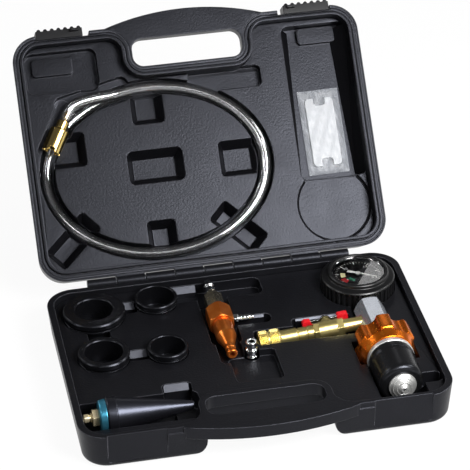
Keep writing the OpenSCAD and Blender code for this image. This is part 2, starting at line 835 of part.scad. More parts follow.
module valve_body() {
    s0 = valve_s;
    s1 = valve_s + valve_len;
    boss_r = 5.2;
    color("#c8a850") arm_pose() difference() {
        union() {
            hex_x(-s0 - 7, -s0, 17);
            bar_x(-s1 + 5, -s0 - 6, 8.8);
            hex_x(-s1, -s1 + 6, 16);
            translate([-ball_s, 0, 0]) rotate([-90, 0, 0]) cylinder(h = lever_y - 2, r = boss_r);
        }
        bar_x(-s1 - 1, 1 - s0, 4);
        translate([-ball_s, 0, 0]) sphere(r = ball_d / 2 + fit);
        bar_x(-ball_s - ball_d / 2 - 0.1, -ball_s + ball_d / 2 + 0.1, ball_d / 2 + fit);
        translate([-ball_s, 0, 0]) rotate([-90, 0, 0]) cylinder(h = lever_y, r = 2.5 + fit / 2);
    }
}

module valve_ball() {
    color("#d0d2d5") arm_pose() translate([-ball_s, 0, 0]) difference() {
        sphere(r = ball_d / 2);
        bar_x(-ball_d, ball_d, 2.5);
        translate([-ball_d, ball_d / 2 - 1, -ball_d]) cube(2 * ball_d);
    }
}

module valve_seats() {
    inner = 4.2;
    color("#eeeeec") arm_pose() for (s = [-1, 1]) translate([-ball_s + s * (ball_d / 2 - 0.7), 0, 0])
        difference() {
            bar_x(-0.7, 0.7, ball_d / 2 + fit / 2);
            bar_x(-1, 1, inner);
        }
}

module valve_stem() {
    color("#c8a850") arm_pose() translate([-ball_s, 0, 0]) rotate([-90, 0, 0])
        translate([0, 0, ball_d / 2 - 1 + eps]) cylinder(h = lever_y + 5 - ball_d / 2 + 1, r = 2.5);
}

block_len = 11;

module lever_plan() {
    translate([-lever_len / 2 + 2, -2.4]) square([lever_len - 4, 4.8]);
    translate([lever_len / 2 - block_len, -5.2]) square([block_len - 1, 8.6]);
    circle(5.6);
}

module valve_lever() {
    color("#cfd1d4") arm_pose() translate([-ball_s, lever_y + lever_t, 0]) rotate([90, 0, 0]) difference() {
        linear_extrude(lever_t) lever_plan();
        translate([0, 0, -1]) cylinder(h = 4, r = 2.5);
    }
}

sleeve_len = 9;

module lever_sleeves() {
    color("#cc1a1a") arm_pose() translate([-ball_s, lever_y + lever_t / 2, 0]) difference() {
        rotate([90, 0, 0]) translate([0, 0, -3]) linear_extrude(6) {
            translate([sleeve_len / 2 - lever_len / 2, 0]) round_rect(sleeve_len, 8, 3);
            translate([lever_len / 2 - block_len / 2, 1.6]) round_rect(block_len, 7.2, 2);
        }
        translate([0, lever_t / 2, 0]) rotate([90, 0, 0]) linear_extrude(lever_t) lever_plan();
    }
}

module lever_nut() {
    color("#d6d8da") arm_pose() translate([-ball_s, lever_y + lever_t, 0]) rotate([-90, 0, 0]) difference() {
        cylinder(h = 2.6, r = 4.2, $fn = 6);
        translate([0, 0, -1]) cylinder(h = 5, r = 2.5);
    }
}

module coupler_body() {
    r = arm_d / 2;
    s = coupler_s;
    e = coupler_end;
    color("#cdb055") arm_pose() difference() {
        turned_x([[-e, 4], [-e, r + 0.6], [-s - 17, r + 0.6], [-s - 16.6, r - 0.6],
            [-s - 15.6, r - 0.6], [-s - 15.2, r], [-s - 8, r], [-s - 7.6, r - 0.6], [-s - 6.4, r - 0.6],
            [-s - 6, r], [-s - eps, r], [-s - eps, 4]]);
        bar_x(-e + 4, -e + 6.4, 5.2);
        bar_x(-e - 1, -e + 4, 5);
    }
}

module coupler_collar() {
    r = collar_d / 2;
    teeth = 36;
    inner = arm_d / 2 + 0.6 + fit;
    bands = [[0, 9], [11, collar_len - 2]];
    color("#bfa046") arm_pose() difference() {
        translate([-collar_s - collar_len, 0, 0]) turned_x([[0, inner], [0, r - 0.5], [0.5, r], [9, r],
            [9.6, r - 1], [10.6, r - 1], [11.2, r], [collar_len - 1.5, r], [collar_len, r - 1.2],
            [collar_len, inner]]);
        translate([-collar_s - collar_len, 0, 0]) for (b = bands, i = [0 : teeth - 1])
            rotate([360 * i / teeth, 0, 0]) translate([b[0] + 0.8, -0.4, r - 0.6])
                cube([b[1] - b[0] - 0.6, 0.8, 2]);
    }
}

module coupler_seal() {
    color("#111111") arm_pose() translate([-coupler_end + 5.2, 0, 0]) rotate([0, 90, 0])
        rotate_extrude() translate([4.1, 0]) circle(r = 1, $fn = 24);
}

// Venturi, drawn along X and stood along Y

module venturi_body() {
    r = venturi_d / 2;
    y = venturi_hex_y;
    color("#c4570f") along_y(venturi_x, venturi_z) difference() {
        union() {
            intersection() {
                hex_x(y, adaptor_y - fit / 2, venturi_af, 0);
                turned_x([[y, 0], [y, venturi_af / 2], [y + 3, venturi_af / sqrt(3)],
                    [adaptor_y - 2, venturi_af / sqrt(3)], [adaptor_y, venturi_af / 2], [adaptor_y, 0]]);
            }
            turned_x([[y - 51, 0], [y - 51, 4.6], [y - 49.5, 5.4], [y - 47.5, 5.4], [y - 46.5, 4.4],
                [y - 43, 4.4], [y - 42, 5.2], [y - 38, 5.2], [y - 37, 5], [y - 21.5, r - 0.4], [y - 20, r],
                [y + 1, r], [y + 1, 0]]);
        }
        bar_x(-30, adaptor_y + 1, throat_d / 2);
        bar_x(adaptor_y - 8, adaptor_y + 1, 5 + fit);
        translate([venturi_hex_y + nipple_in, 0, 0]) rotate([90, 0, 0]) cylinder(h = 30, r = 3 + fit);
    }
}

module venturi_adaptor() {
    y = adaptor_y;
    color("#a9a294") along_y(venturi_x, venturi_z) difference() {
        union() {
            hex_x(y + 2, air_plug_y - 6, 17);
            turned_x([[y + fit, 0], [y + fit, 8.2], [y + 3, 8.2], [y + 3, 0]]);
            bar_x(y - 7, y + 3, 5);
            bar_x(air_plug_y - 7, air_plug_y - eps, 6);
        }
        bar_x(y - 8, air_plug_y + 1, 3);
    }
}

module air_plug() {
    y = air_plug_y;
    color("#c6c6c2") along_y(venturi_x, venturi_z) difference() {
        turned_x([[y, 0], [y, 6.2], [y + 6, 5.2], [y + 6, 4.2], [y + 11, 4.2], [y + 12, 5.8],
            [y + 15, 5.8], [y + 16, 3.6], [y + 22.5, 3.6], [y + 23, 3], [y + 23, 0]]);
        bar_x(y - 1, y + 30, 2);
    }
}

module side_nipple() {
    tip = 33;
    color("#cfd0cc") translate([venturi_x, venturi_hex_y + nipple_in, venturi_z]) difference() {
        union() {
            bar_x(6, venturi_af / 2 + 1, 3);
            hex_x(venturi_af / 2 + fit, venturi_af / 2 + 5, 9);
            turned_x([[16, 0], [16, 3.6], [18, 3.6], [18, 2.6], [20, 2.6], [20, 3.9], [24, 2.8], [24, 3.7],
                [28, 2.6], [28, 3.5], [tip, 2.3], [tip, 0]]);
        }
        bar_x(0, tip + 1, 1.4);
    }
}

module spare_nipple() {
    z = spare_z;
    color("#dfe1e4") translate([spare_at[0], spare_at[1], 0]) rotate_extrude() polygon([
        [2.8, z], [5, z], [5, z + 6], [5.8, z + 6.6], [5.8, z + 9.4], [4.6, z + 10], [4.6, z + 13],
        [5.9, z + 13.6], [5.9, z + 17], [4.4, z + 18], [4.4, z + 20.5], [5.6, z + 21.5], [5.6, z + 25],
        [4.9, z + 26], [3.2, z + 26], [2.8, z + 25.4]]);
}

// Cone adaptor

module cone_pose() {
    translate([cone_x, cone_y, cone_z]) children();
}

stem_bore = 2;

module cone_rubber() {
    r = cone_d / 2;
    color("#1c1c1e") cone_pose() difference() {
        turned_x([[0, 0], [0, r - 1], [1, r], [9, r], [9.5, r - 0.6], [cone_len - 1, cone_tip_d / 2],
            [cone_len, cone_tip_d / 2 - 1], [cone_len, 0]]);
        bar_x(-1, cone_len + 1, 3 + fit / 2);
    }
}

module cone_ring() {
    color("#2a7f9c") cone_pose() difference() {
        turned_x([[-7, 0], [-7, 14.5], [-6, 15.6], [-1, 16.4], [-fit, 16.4], [-fit, 0]]);
        bar_x(-8, 1, 3 + fit / 2);
    }
}

module cone_nut() {
    color("#c9a552") cone_pose() difference() {
        hex_x(-13.5, -7 - fit, 15);
        bar_x(-14, -6, 3 + fit / 2);
    }
}

module cone_stem() {
    color("#c2a04e") cone_pose() difference() {
        union() {
            bar_x(-22, cone_len - 6, 3);
            turned_x([[-22, 0], [-22, 3.4], [-21, 4.2], [-17, 4.2], [-16.4, 3.4], [-15, 3.4],
                [-15, 4.6], [-13.5 - fit, 4.6], [-13.5 - fit, 0]]);
        }
        bar_x(-23, cone_len, stem_bore);
    }
}

// Rubber adaptors

module ring_adaptor(at, od, bore) {
    r = od / 2;
    b = bore / 2;
    z = adaptor_z;
    top = adaptor_top;
    translate([at[0], at[1], 0]) rotate_extrude() polygon([
        [b, z], [r - 5, z], [r - 4, z + 1], [r - 4, top - 12], [r - 1, top - 11],
        [r - 0.6, top - 8.5], [r - 3, top - 7.5], [r - 3, top - 6.8], [r, top - 6],
        [r, top - 1.6], [r - 1.6, top], [b + 1, top], [b, top - 1]]);
}

module cup_adaptor(at, od) {
    r = od / 2;
    b = r - 3.4;
    z = adaptor_z;
    top = adaptor_top;
    translate([at[0], at[1], 0]) rotate_extrude() polygon([
        [0, z], [r - 4, z], [r - 3, z + 1], [r - 2, top - 10], [r - 0.4, top - 9],
        [r - 0.4, top - 7], [r - 1.8, top - 6.4], [r - 1.8, top - 5.6], [r, top - 5],
        [r, top - 1], [r - 1, top], [b + 0.8, top], [b, top - 0.8], [b - 1, z + 3], [0, z + 3]]);
}

module large_adaptor() { color("#1e1e20") ring_adaptor(large_at, large_od, adaptor_bore); }
module back_cup() { color("#1e1e20") cup_adaptor(back_cup_at, back_cup_od); }
module medium_adaptor() { color("#1e1e20") ring_adaptor(medium_at, medium_od, adaptor_bore); }
module front_cup() { color("#1e1e20") cup_adaptor(front_cup_at, front_cup_od); }

// Hose: a straight lead from the coupling, a bend onto the oval, one turn and a half turn below it

lead_len = hose_d;
join = oval_point(oval_a, oval_b, join_angle);
join_dir = [-oval_a * sin(join_angle), oval_b * cos(join_angle)] / norm([oval_a * sin(join_angle),
    oval_b * cos(join_angle)]);
lead_end = hose_start + lead_dir * lead_len;
handle_len = 14;

function bend(t) = pow(1 - t, 3) * lead_end + 3 * t * pow(1 - t, 2) * (lead_end + handle_len * lead_dir)
    + 3 * t * t * (1 - t) * (join - handle_len * join_dir) + pow(t, 3) * join;
function oval_z(a) = upper_z + layer_step * smooth((a - dive_angle) / (under_angle - dive_angle));
function lead_z(t) = coupling_z + (upper_z - coupling_z) * smooth(t);
bend_n = 6;
oval_n = 36;
end_point = oval_point(oval_a, oval_b, end_angle);
end_dir = [-oval_a * sin(end_angle), oval_b * cos(end_angle)] / norm([oval_a * sin(end_angle),
    oval_b * cos(end_angle)]);
route = concat(
    [[hose_start[0], hose_start[1], coupling_z], [lead_end[0], lead_end[1], coupling_z]],
    [for (i = [1 : bend_n - 1]) let (p = bend(i / bend_n)) [p[0], p[1], lead_z(i / bend_n)]],
    [for (i = [0 : oval_n]) let (a = join_angle + (end_angle - join_angle) * i / oval_n,
        p = oval_point(oval_a, oval_b, a)) [p[0], p[1], oval_z(a)]],
    [[end_point[0] + end_dir[0] * hose_d, end_point[1] + end_dir[1] * hose_d, lower_z]]);

function unit(v) = v / norm(v);
function heading(i) = unit(route[min(i + 1, len(route) - 1)] - route[max(i - 1, 0)]);
function side_of(d) = unit(cross(d, [0, 0, 1]));
hose_sides = 10;
function hose_ring(i, r) = let (d = heading(i), s = side_of(d), u = cross(s, d))
    [for (k = [0 : hose_sides - 1]) let (t = 360 * k / hose_sides) route[i] + r * (cos(t) * s + sin(t) * u)];
function skin(first, rings, flip) = [for (i = [0 : rings - 2], k = [0 : hose_sides - 1])
    let (a = first + i * hose_sides + k, b = first + i * hose_sides + (k + 1) % hose_sides,
        c = a + hose_sides, d = b + hose_sides)
    each (flip ? [[a, b, c], [b, d, c]] : [[a, c, b], [b, c, d]])];
function rim(outer, inner, flip) = [for (k = [0 : hose_sides - 1])
    let (a = outer + k, b = outer + (k + 1) % hose_sides, c = inner + k, d = inner + (k + 1) % hose_sides)
    each (flip ? [[a, c, b], [b, c, d]] : [[a, b, c], [b, d, c]])];

// Least distance between stretches of the route that lie more than four diameters apart along it
hose_gap = min([for (i = [0 : len(route) - 1], j = [i + 6 : 1 : len(route) - 1])
    norm(route[i] - route[j])]) - hose_d;
echo(hose_gap_to_itself = hose_gap);

module hose() {
    n = len(route);
    outer = [for (i = [0 : n - 1]) each hose_ring(i, hose_d / 2)];
    inner = [for (i = [0 : n - 1]) each hose_ring(i, hose_bore / 2)];
    count = n * hose_sides;
    color([0.8, 0.82, 0.85, 0.5]) lid_pose() polyhedron(points = concat(outer, inner), faces = concat(
        skin(0, n, false), skin(count, n, true),
        rim(0, count, false), rim(count - hose_sides, 2 * count - hose_sides, true)));
}

module coupling_pose() {
    translate([hose_start[0], hose_start[1], coupling_z]) rotate(coupling_turn) children();
}

module hose_coupling() {
    r = coupling_d / 2;
    color("#c9a443") lid_pose() coupling_pose() difference() {
        turned_x([[8, 0], [8, 5], [9, r - 1], [10, r], [8 + coupling_len, r], [8 + coupling_len, 0]]);
        bar_x(12, 40, r - 2.6);
        bar_x(0, 20, 3);
        for (a = [0, 90]) rotate([a, 0, 0]) translate([8 + coupling_len - 4, -3, -r - 1])
            cube([6, 6, 2 * r + 2]);
    }
}

module hose_ferrule() {
    color("#b8933c") lid_pose() coupling_pose() difference() {
        turned_x([[-11.4, 0], [-11.4, 2.8], [-8, 3.6], [-8, 2.9], [-4, 3.6], [-4, 2.9],
            [eps, 3.6], [eps, 6.4], [8 - eps, 6.4], [8 - eps, 0]]);
        bar_x(-12, 12, 2);
    }
}

// Bag with the hanger plate in it, open at its mouth towards the hinge

module bag() {
    color([0.9, 0.92, 0.94, 0.4]) lid_pose() translate([bag_at[0], bag_at[1], bag_z]) rotate(bag_turn) difference() {
        linear_extrude(bag_t) round_rect(bag_w, bag_len, 2);
        translate([0, 0, bag_skin]) linear_extrude(bag_t - 2 * bag_skin) {
            round_rect(bag_w - 3, bag_len - 3, 2);
            translate([-bag_w / 2 + 1.5, 0]) square([bag_w - 3, bag_len]);
        }
    }
}

module hanger_plate() {
    w = 30;
    len = 72;
    leg = 9;
    color("white") lid_pose() translate([bag_at[0], bag_at[1], bag_z + bag_skin + fit]) rotate(bag_turn)
        linear_extrude(bag_t - 2 * bag_skin - 2 * fit) difference() {
            round_rect(w, len, leg / 2);
            for (s = [-1, 1]) translate([0, s * len / 2]) round_rect(w - 2 * leg, 16, 3);
        }
}

base_shell();
base_tray();
lid_shell();
lid_tray();
hinge_pin();
latch_left();
latch_right();
head_body();
plug_stem();
expander_plug();
clamp_washer();
end_cap();
clamp_knob();
gauge_stem();
gauge_case();
gauge_boot();
gauge_movement();
bourdon_tube();
gauge_dial();
gauge_needle();
gauge_lens();
gauge_bezel();
valve_nipple();
valve_body();
valve_ball();
valve_seats();
valve_stem();
valve_lever();
lever_sleeves();
lever_nut();
coupler_body();
coupler_collar();
coupler_seal();
venturi_body();
venturi_adaptor();
air_plug();
side_nipple();
spare_nipple();
cone_rubber();
cone_ring();
cone_nut();
cone_stem();
large_adaptor();
back_cup();
medium_adaptor();
front_cup();
hose();
hose_coupling();
hose_ferrule();
bag();
hanger_plate();
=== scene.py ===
"""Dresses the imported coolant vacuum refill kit: an open carry case with the filler head and its adaptors.

Every length inside a class is in millimetres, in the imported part's shared frame, and meshes are in metres.
"""

from __future__ import annotations

import json
import logging
import math
from dataclasses import dataclass
from enum import Enum
from typing import Any

import bmesh
import bpy
from mathutils import Matrix, Vector
from mathutils.bvhtree import BVHTree

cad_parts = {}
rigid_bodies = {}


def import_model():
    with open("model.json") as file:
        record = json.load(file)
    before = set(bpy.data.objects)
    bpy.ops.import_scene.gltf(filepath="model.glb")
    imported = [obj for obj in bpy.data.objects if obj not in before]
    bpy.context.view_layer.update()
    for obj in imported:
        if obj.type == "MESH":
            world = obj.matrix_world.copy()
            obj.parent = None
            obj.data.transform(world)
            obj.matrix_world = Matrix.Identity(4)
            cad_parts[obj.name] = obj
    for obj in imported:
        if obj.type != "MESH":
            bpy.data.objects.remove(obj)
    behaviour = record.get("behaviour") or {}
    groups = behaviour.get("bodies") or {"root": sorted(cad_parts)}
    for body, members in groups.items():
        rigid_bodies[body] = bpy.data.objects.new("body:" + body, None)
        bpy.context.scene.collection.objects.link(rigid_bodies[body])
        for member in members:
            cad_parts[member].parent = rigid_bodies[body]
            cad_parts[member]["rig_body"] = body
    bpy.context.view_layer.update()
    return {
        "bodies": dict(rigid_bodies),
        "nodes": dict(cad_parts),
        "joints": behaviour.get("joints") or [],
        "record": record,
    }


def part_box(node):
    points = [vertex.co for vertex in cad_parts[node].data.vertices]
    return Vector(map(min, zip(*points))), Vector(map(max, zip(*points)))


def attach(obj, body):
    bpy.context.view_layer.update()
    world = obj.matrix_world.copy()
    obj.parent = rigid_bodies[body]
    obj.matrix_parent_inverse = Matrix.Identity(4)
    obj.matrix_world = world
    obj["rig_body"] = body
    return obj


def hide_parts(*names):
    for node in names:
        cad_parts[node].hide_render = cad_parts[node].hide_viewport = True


LOG = logging.getLogger("refill_kit")
MM = 0.001
MERGE_M = 2e-6
SMOOTH_DEG = 32.0
PRINT_MM = 0.08

Node = bpy.types.Node
Socket = bpy.types.NodeSocket
BMesh = bmesh.types.BMesh
BMVert = bmesh.types.BMVert
Span = tuple[float, float]
Point = tuple[float, float, float]

# Places of the Mix node's sockets, whose names repeat for each kind of data.
MIX_SHARE, MIX_LOW, MIX_HIGH, MIX_OUT = 0, 2, 3, 0
MIX_COLOUR_LOW, MIX_COLOUR_HIGH, MIX_COLOUR_OUT = 6, 7, 2


class Axis(Enum):
    """Direction of a lathe's spindle in the shared frame."""

    X = (1.0, 0.0, 0.0)
    Y = (0.0, 1.0, 0.0)
    Z = (0.0, 0.0, 1.0)
    ARM = (0.99692, 0.0, 0.07846)
    COUPLING = (-0.5, -0.55665, -0.66341)


def linear(colour: str) -> tuple[float, float, float, float]:
    """Turns an sRGB hex colour into linear RGBA.

    Args:
        colour: Six hex digits after a hash.

    Returns:
        Linear red, green, blue and an alpha of one.
    """
    shares = [int(colour[i : i + 2], 16) / 255 for i in (1, 3, 5)]
    red, green, blue = (c / 12.92 if c <= 0.04045 else ((c + 0.055) / 1.055) ** 2.4 for c in shares)
    return red, green, blue, 1.0


def per_metre(size_mm: float) -> float:
    """Gives the texture scale whose features are about the given size."""
    return 1.0 / (size_mm * MM)


@dataclass(frozen=True)
class NodeBench:
    """A node tree, with the shader that its nodes feed."""

    tree: bpy.types.NodeTree
    shader: Node

    def add(self, kind: str, inputs: dict[str | int, Any] | None = None, **settings: Any) -> Node:
        """Adds a node with its settings, its constants and its links.

        Args:
            kind: Blender's name of the node's class, without its first words.
            inputs: Value or output socket for each input, by its name or place.
            **settings: Properties of the node itself.

        Returns:
            The new node.
        """
        node = self.tree.nodes.new(f"ShaderNode{kind}")
        for key, value in settings.items():
            setattr(node, key, value)
        self.feed(inputs or {}, node)
        return node

    def feed(self, inputs: dict[str | int, Any], node: Node | None = None) -> None:
        """Sets constants on a node's own sockets, and links the rest.

        Args:
            inputs: Value or output socket for each input, by its name or place.
            node: Node to set, or else the shader.
        """
        sockets = (node or self.shader).inputs
        for key, value in inputs.items():
            if isinstance(value, Socket):
                self.tree.links.new(value, sockets[key])
            else:
                sockets[key].default_value = value


@dataclass(frozen=True)
class Finish:
    """A surface finish: what it is made of, how it was worked, and the name of a slot in the record, which
    is kept but not used.
    """

    name: str
    slot: str
    colour: str
    roughness: float = 0.5
    metallic: float = 0.0

    def make(self) -> bpy.types.Material:
        """Makes the node material once.

        Returns:
            The material of this finish.
        """
        known = bpy.data.materials.get(self.name)
        if known:
            return known
        material = bpy.data.materials.new(self.name)
        material.use_nodes = True
        bench = NodeBench(material.node_tree, material.node_tree.nodes["Principled BSDF"])
        plain = {"Base Color": linear(self.colour), "Roughness": self.roughness}
        bench.feed({**plain, "Metallic": self.metallic})
        self.work(bench, bench.add("TexCoord").outputs["Object"])
        return material

    def work(self, bench: NodeBench, place: Socket) -> None:
        """Adds the finish's own pattern to the shader; a plain finish has none."""

    def tone(self, bench: NodeBench, factor: Socket, other: str, spread: float) -> None:
        """Lets the colour and the gloss drift with a pattern.

        Args:
            bench: Nodes of the material.
            factor: Pattern from 0 to 1.
            other: Second colour, as sRGB hex.
            spread: How far the roughness moves to each side.
        """
        ends = {MIX_COLOUR_LOW: linear(self.colour), MIX_COLOUR_HIGH: linear(other)}
        mix = bench.add("Mix", {MIX_SHARE: factor, **ends}, data_type="RGBA")
        limits = {"To Min": self.roughness - spread, "To Max": self.roughness + spread}
        gloss = bench.add("MapRange", {"Value": factor, **limits})
        bench.feed({"Base Color": mix.outputs[MIX_COLOUR_OUT], "Roughness": gloss.outputs["Result"]})

    def relief(
        self, bench: NodeBench, height: Socket, height_mm: float, rolled: Socket | None = None
    ) -> None:
        """Raises a pattern as bump.

        Args:
            bench: Nodes of the material.
            height: Pattern from 0 to 1.
            height_mm: Height that 1 stands for.
            rolled: Normal of the rolled edges, where they are.
        """
        inputs: dict[str | int, Any] = {"Strength": 1.0, "Distance": height_mm * MM, "Height": height}
        if rolled:
            inputs["Normal"] = rolled
        bump = bench.add("Bump", inputs)
        bench.feed({"Normal": bump.outputs["Normal"]})


@dataclass(frozen=True)
class MouldedPolymer(Finish):
    """Moulded plastic or rubber: an even grain from the tool, and a slow drift of tone and gloss."""

    worn: str = "#2e2f33"
    # The tool's real grain is a few tenths of a millimetre, too fine to show, so it is drawn coarser.
    grain_mm: float = 0.9
    grain_height_mm: float = 0.03
    drift_mm: float = 28.0
    gloss_spread: float = 0.06
    ior: float = 1.49
    shine: float = 0.5
    shine_tint: str = "#ffffff"
    rolled_mm: float = 0.0
    # The edge colour is a highlight painted along the rolled edges; its share below sets how strongly it
    # shows.
    edge: str = "#6e6f76"
    edge_highlight_share: float = 0.75
    edge_turn: Span = (0.985, 0.85)
    edge_samples: int = 6

    def work(self, bench: NodeBench, place: Socket) -> None:
        """Adds the tool's grain, the drift of tone, the colour of the shine and the highlights painted along
        the edges.

        Args:
            bench: Nodes of the material.
            place: Object coordinates.
        """
        gleam = {"IOR": self.ior, "Specular IOR Level": self.shine, "Specular Tint": linear(self.shine_tint)}
        bench.feed(gleam)
        coarse = {"Vector": place, "Scale": per_metre(self.drift_mm), "Detail": 5.0}
        drift = bench.add("TexNoise", coarse)
        self.tone(bench, drift.outputs["Fac"], self.worn, self.gloss_spread)
        rolled = None
        if self.rolled_mm:
            edges = {"Radius": self.rolled_mm * MM}
            rolled = bench.add("Bevel", edges, samples=self.edge_samples).outputs["Normal"]
            self.paint_edge_highlights(bench, rolled)
        fine = {"Vector": place, "Scale": per_metre(self.grain_mm), "Detail": 2.0}
        grain = bench.add("TexNoise", fine)
        self.relief(bench, grain.outputs["Fac"], self.grain_height_mm, rolled)

    def paint_edge_highlights(self, bench: NodeBench, rolled: Socket) -> None:
        """Paints highlights along the edges, lightening them where the rolled normal turns away from the
        face.

        Args:
            bench: Nodes of the material, already toned.
            rolled: Normal of the rolled edges.
        """
        face = bench.add("NewGeometry").outputs["Normal"]
        turned = bench.add("VectorMath", {0: rolled, 1: face}, operation="DOT_PRODUCT")
        limits = {"From Min": self.edge_turn[0], "From Max": self.edge_turn[1], "To Max": self.edge_highlight_share}
        share = bench.add("MapRange", {"Value": turned.outputs["Value"], **limits})
        toned = bench.shader.inputs["Base Color"].links[0].from_socket
        ends = {MIX_COLOUR_LOW: toned, MIX_COLOUR_HIGH: linear(self.edge)}
        mix = bench.add("Mix", {MIX_SHARE: share.outputs["Result"], **ends}, data_type="RGBA")
        bench.feed({"Base Color": mix.outputs[MIX_COLOUR_OUT]})


@dataclass(frozen=True)
class TurnedMetal(Finish):
    """Metal from the lathe or the mill: tool lines across one axis, and a faint uneven tarnish."""

    metallic: float = 1.0
    axis: Axis = Axis.Y
    tarnish: str = "#8a7f66"
    # Real tool lines are about a tenth of a millimetre apart, too fine to show, so they are drawn wider.
    line_mm: float = 0.7
    line_height_mm: float = 0.004
    tarnish_mm: float = 6.0
    tarnish_range: Span = (0.45, 0.8)
    tarnish_share: float = 0.6
    gloss_spread: float = 0.05

    def work(self, bench: NodeBench, place: Socket) -> None:
        """Adds the tool lines and the tarnish.

        Args:
            bench: Nodes of the material.
            place: Object coordinates.
        """
        reach = bench.add("VectorMath", {0: place, 1: self.axis.value}, operation="DOT_PRODUCT")
        cuts = {"W": reach.outputs["Value"], "Scale": per_metre(self.line_mm), "Detail": 2.0}
        lines = bench.add("TexNoise", cuts, noise_dimensions="1D")
        self.relief(bench, lines.outputs["Fac"], self.line_height_mm)
        patches = {"Vector": place, "Scale": per_metre(self.tarnish_mm), "Detail": 4.0}
        spots = bench.add("TexNoise", patches)
        low, high = self.tarnish_range
        limits = {"From Min": low, "From Max": high, "To Max": self.tarnish_share}
        share = bench.add("MapRange", {"Value": spots.outputs["Fac"], **limits})
        self.tone(bench, share.outputs["Result"], self.tarnish, self.gloss_spread)


@dataclass(frozen=True)
class BlastedMetal(Finish):
    """Bead-blasted, anodised aluminium: coloured metal with a fine pitted grain that widens highlights."""

    metallic: float = 1.0
    rubbed: str = "#f08a3c"
    # Real pits are under a tenth of a millimetre, too fine to show, so they are drawn at half of one.
    pit_mm: float = 0.5
    pit_height_mm: float = 0.015
    rub_mm: float = 9.0
    rub_range: Span = (0.5, 0.85)
    rub_share: float = 0.5
    gloss_spread: float = 0.04

    def work(self, bench: NodeBench, place: Socket) -> None:
        """Adds the blasted grain and the rubbed patches.

        Args:
            bench: Nodes of the material.
            place: Object coordinates.
        """
        grit = {"Vector": place, "Scale": per_metre(self.pit_mm)}
        pits = bench.add("TexVoronoi", grit, feature="SMOOTH_F1")
        self.relief(bench, pits.outputs["Distance"], self.pit_height_mm)
        patches = {"Vector": place, "Scale": per_metre(self.rub_mm), "Detail": 3.0}
        drift = bench.add("TexNoise", patches)
        low, high = self.rub_range
        limits = {"From Min": low, "From Max": high, "To Max": self.rub_share}
        share = bench.add("MapRange", {"Value": drift.outputs["Fac"], **limits})
        self.tone(bench, share.outputs["Result"], self.rubbed, self.gloss_spread)


@dataclass(frozen=True)
class ClearPolymer(Finish):
    """Clear vinyl, acrylic or glass: light passes through, and handling leaves a soft haze."""

    ior: float = 1.52
    clear: float = 1.0
    haze_mm: float = 14.0
    haze: float = 0.06
    skin: float = 0.0
    skin_ior: float = 1.5

    def work(self, bench: NodeBench, place: Socket) -> None:
        """Lets light through, and adds the glossy skin and the haze.

        Args:
            bench: Nodes of the material.
            place: Object coordinates.
        """
        bench.feed({"Transmission Weight": self.clear, "IOR": self.ior})
        coat = {"Coat Weight": self.skin, "Coat IOR": self.skin_ior, "Coat Roughness": self.roughness}
        bench.feed(coat)
        patches = {"Vector": place, "Scale": per_metre(self.haze_mm), "Detail": 3.0}
        haze = bench.add("TexNoise", patches)
        limits = {"To Min": self.roughness, "To Max": self.roughness + self.haze}
        gloss = bench.add("MapRange", {"Value": haze.outputs["Fac"], **limits})
        bench.feed({"Roughness": gloss.outputs["Result"]})


@dataclass(frozen=True)
class PolyFilm(Finish):
    """Thin polyethylene film: a milky see-through skin, denser where it folds."""

    thin: float = 0.22
    dense: float = 0.5
    fold_mm: float = 9.0
    fold_range: Span = (0.3, 0.75)
    fold_height_mm: float = 0.25
    fold_twist: float = 1.2

    def work(self, bench: NodeBench, place: Socket) -> None:
        """Adds the milky folds.

        Args:
            bench: Nodes of the material.
            place: Object coordinates.
        """
        waves = {"Scale": per_metre(self.fold_mm), "Detail": 4.0, "Distortion": self.fold_twist}
        folds = bench.add("TexNoise", {"Vector": place, **waves}).outputs["Fac"]
        low, high = self.fold_range
        limits = {"From Min": low, "From Max": high, "To Min": self.thin, "To Max": self.dense}
        milk = bench.add("MapRange", {"Value": folds, **limits})
        bench.feed({"Alpha": milk.outputs["Result"]})
        self.relief(bench, folds, self.fold_height_mm)


# Blow-moulded polypropylene: a spark-eroded grain that spreads every highlight, and highlights painted pale
# along the edges.
# The real grain is under half a millimetre and would not show, so it is drawn at 2 mm.
CASE = MouldedPolymer(
    "Grained polypropylene case", "case_plastic", "#0c0c0e", 0.37, worn="#121215", shine=0.22,
    shine_tint="#e4e8f8", grain_mm=2.0, grain_height_mm=0.16, rolled_mm=0.9,
)
TRAY = MouldedPolymer(
    "Grained polypropylene tray", "tray_plastic", "#0b0b0d", 0.34, worn="#111114", shine=0.22,
    shine_tint="#e4e8f8", grain_mm=2.0, grain_height_mm=0.16, rolled_mm=0.9,
)
# Painted shade: the tray plastic with its shine taken away, so that the walls laid in it render black as
# shade.
SHADED = MouldedPolymer(
    "Polypropylene painted as shade", "tray_plastic", "#0c0c0e", 0.7, worn="#111114", shine=0.03,
    grain_height_mm=0.05,
)
# Painted sheen: a copy of the tray plastic with its shine raised, so that the drafted slopes show the bright
# room as pale grey patches.
SLOPE = MouldedPolymer(
    "Polypropylene with painted sheen", "tray_plastic", "#0c0c0e", 0.32, worn="#111114", shine=0.62,
    shine_tint="#e4e8f8",
)
# Injection-moulded polypropylene: smoother than the case, so that its ribs catch thin lines of light.
LATCH = MouldedPolymer(
    "Smooth polypropylene latch", "latch_plastic", "#0b0b0d", 0.36, worn="#101013", grain_height_mm=0.01,
    shine=0.2,
)
# Drawn steel wire: plain grey, with faint marks from the die.
PIN = TurnedMetal("Drawn steel pin", "pin_steel", "#8f9295", 0.35, axis=Axis.X, tarnish="#5d5f61")
# Polished aluminium bar: nearly a mirror, with the mill's lines just showing.
HEXAGON = TurnedMetal(
    "Polished aluminium bar", "polished_aluminium", "#d0d4dc", 0.28, 0.82, tarnish="#c4c8d0",
    line_height_mm=0.001, gloss_spread=0.02,
)
# Moulded rubber with a satin skin: black, with one soft broad highlight.
PLUG = MouldedPolymer(
    "Satin black rubber plug", "plug_rubber", "#0a0a0b", 0.28, worn="#101011", grain_mm=1.4,
    grain_height_mm=0.015, shine=0.38, shine_tint="#e4e8f8",
)
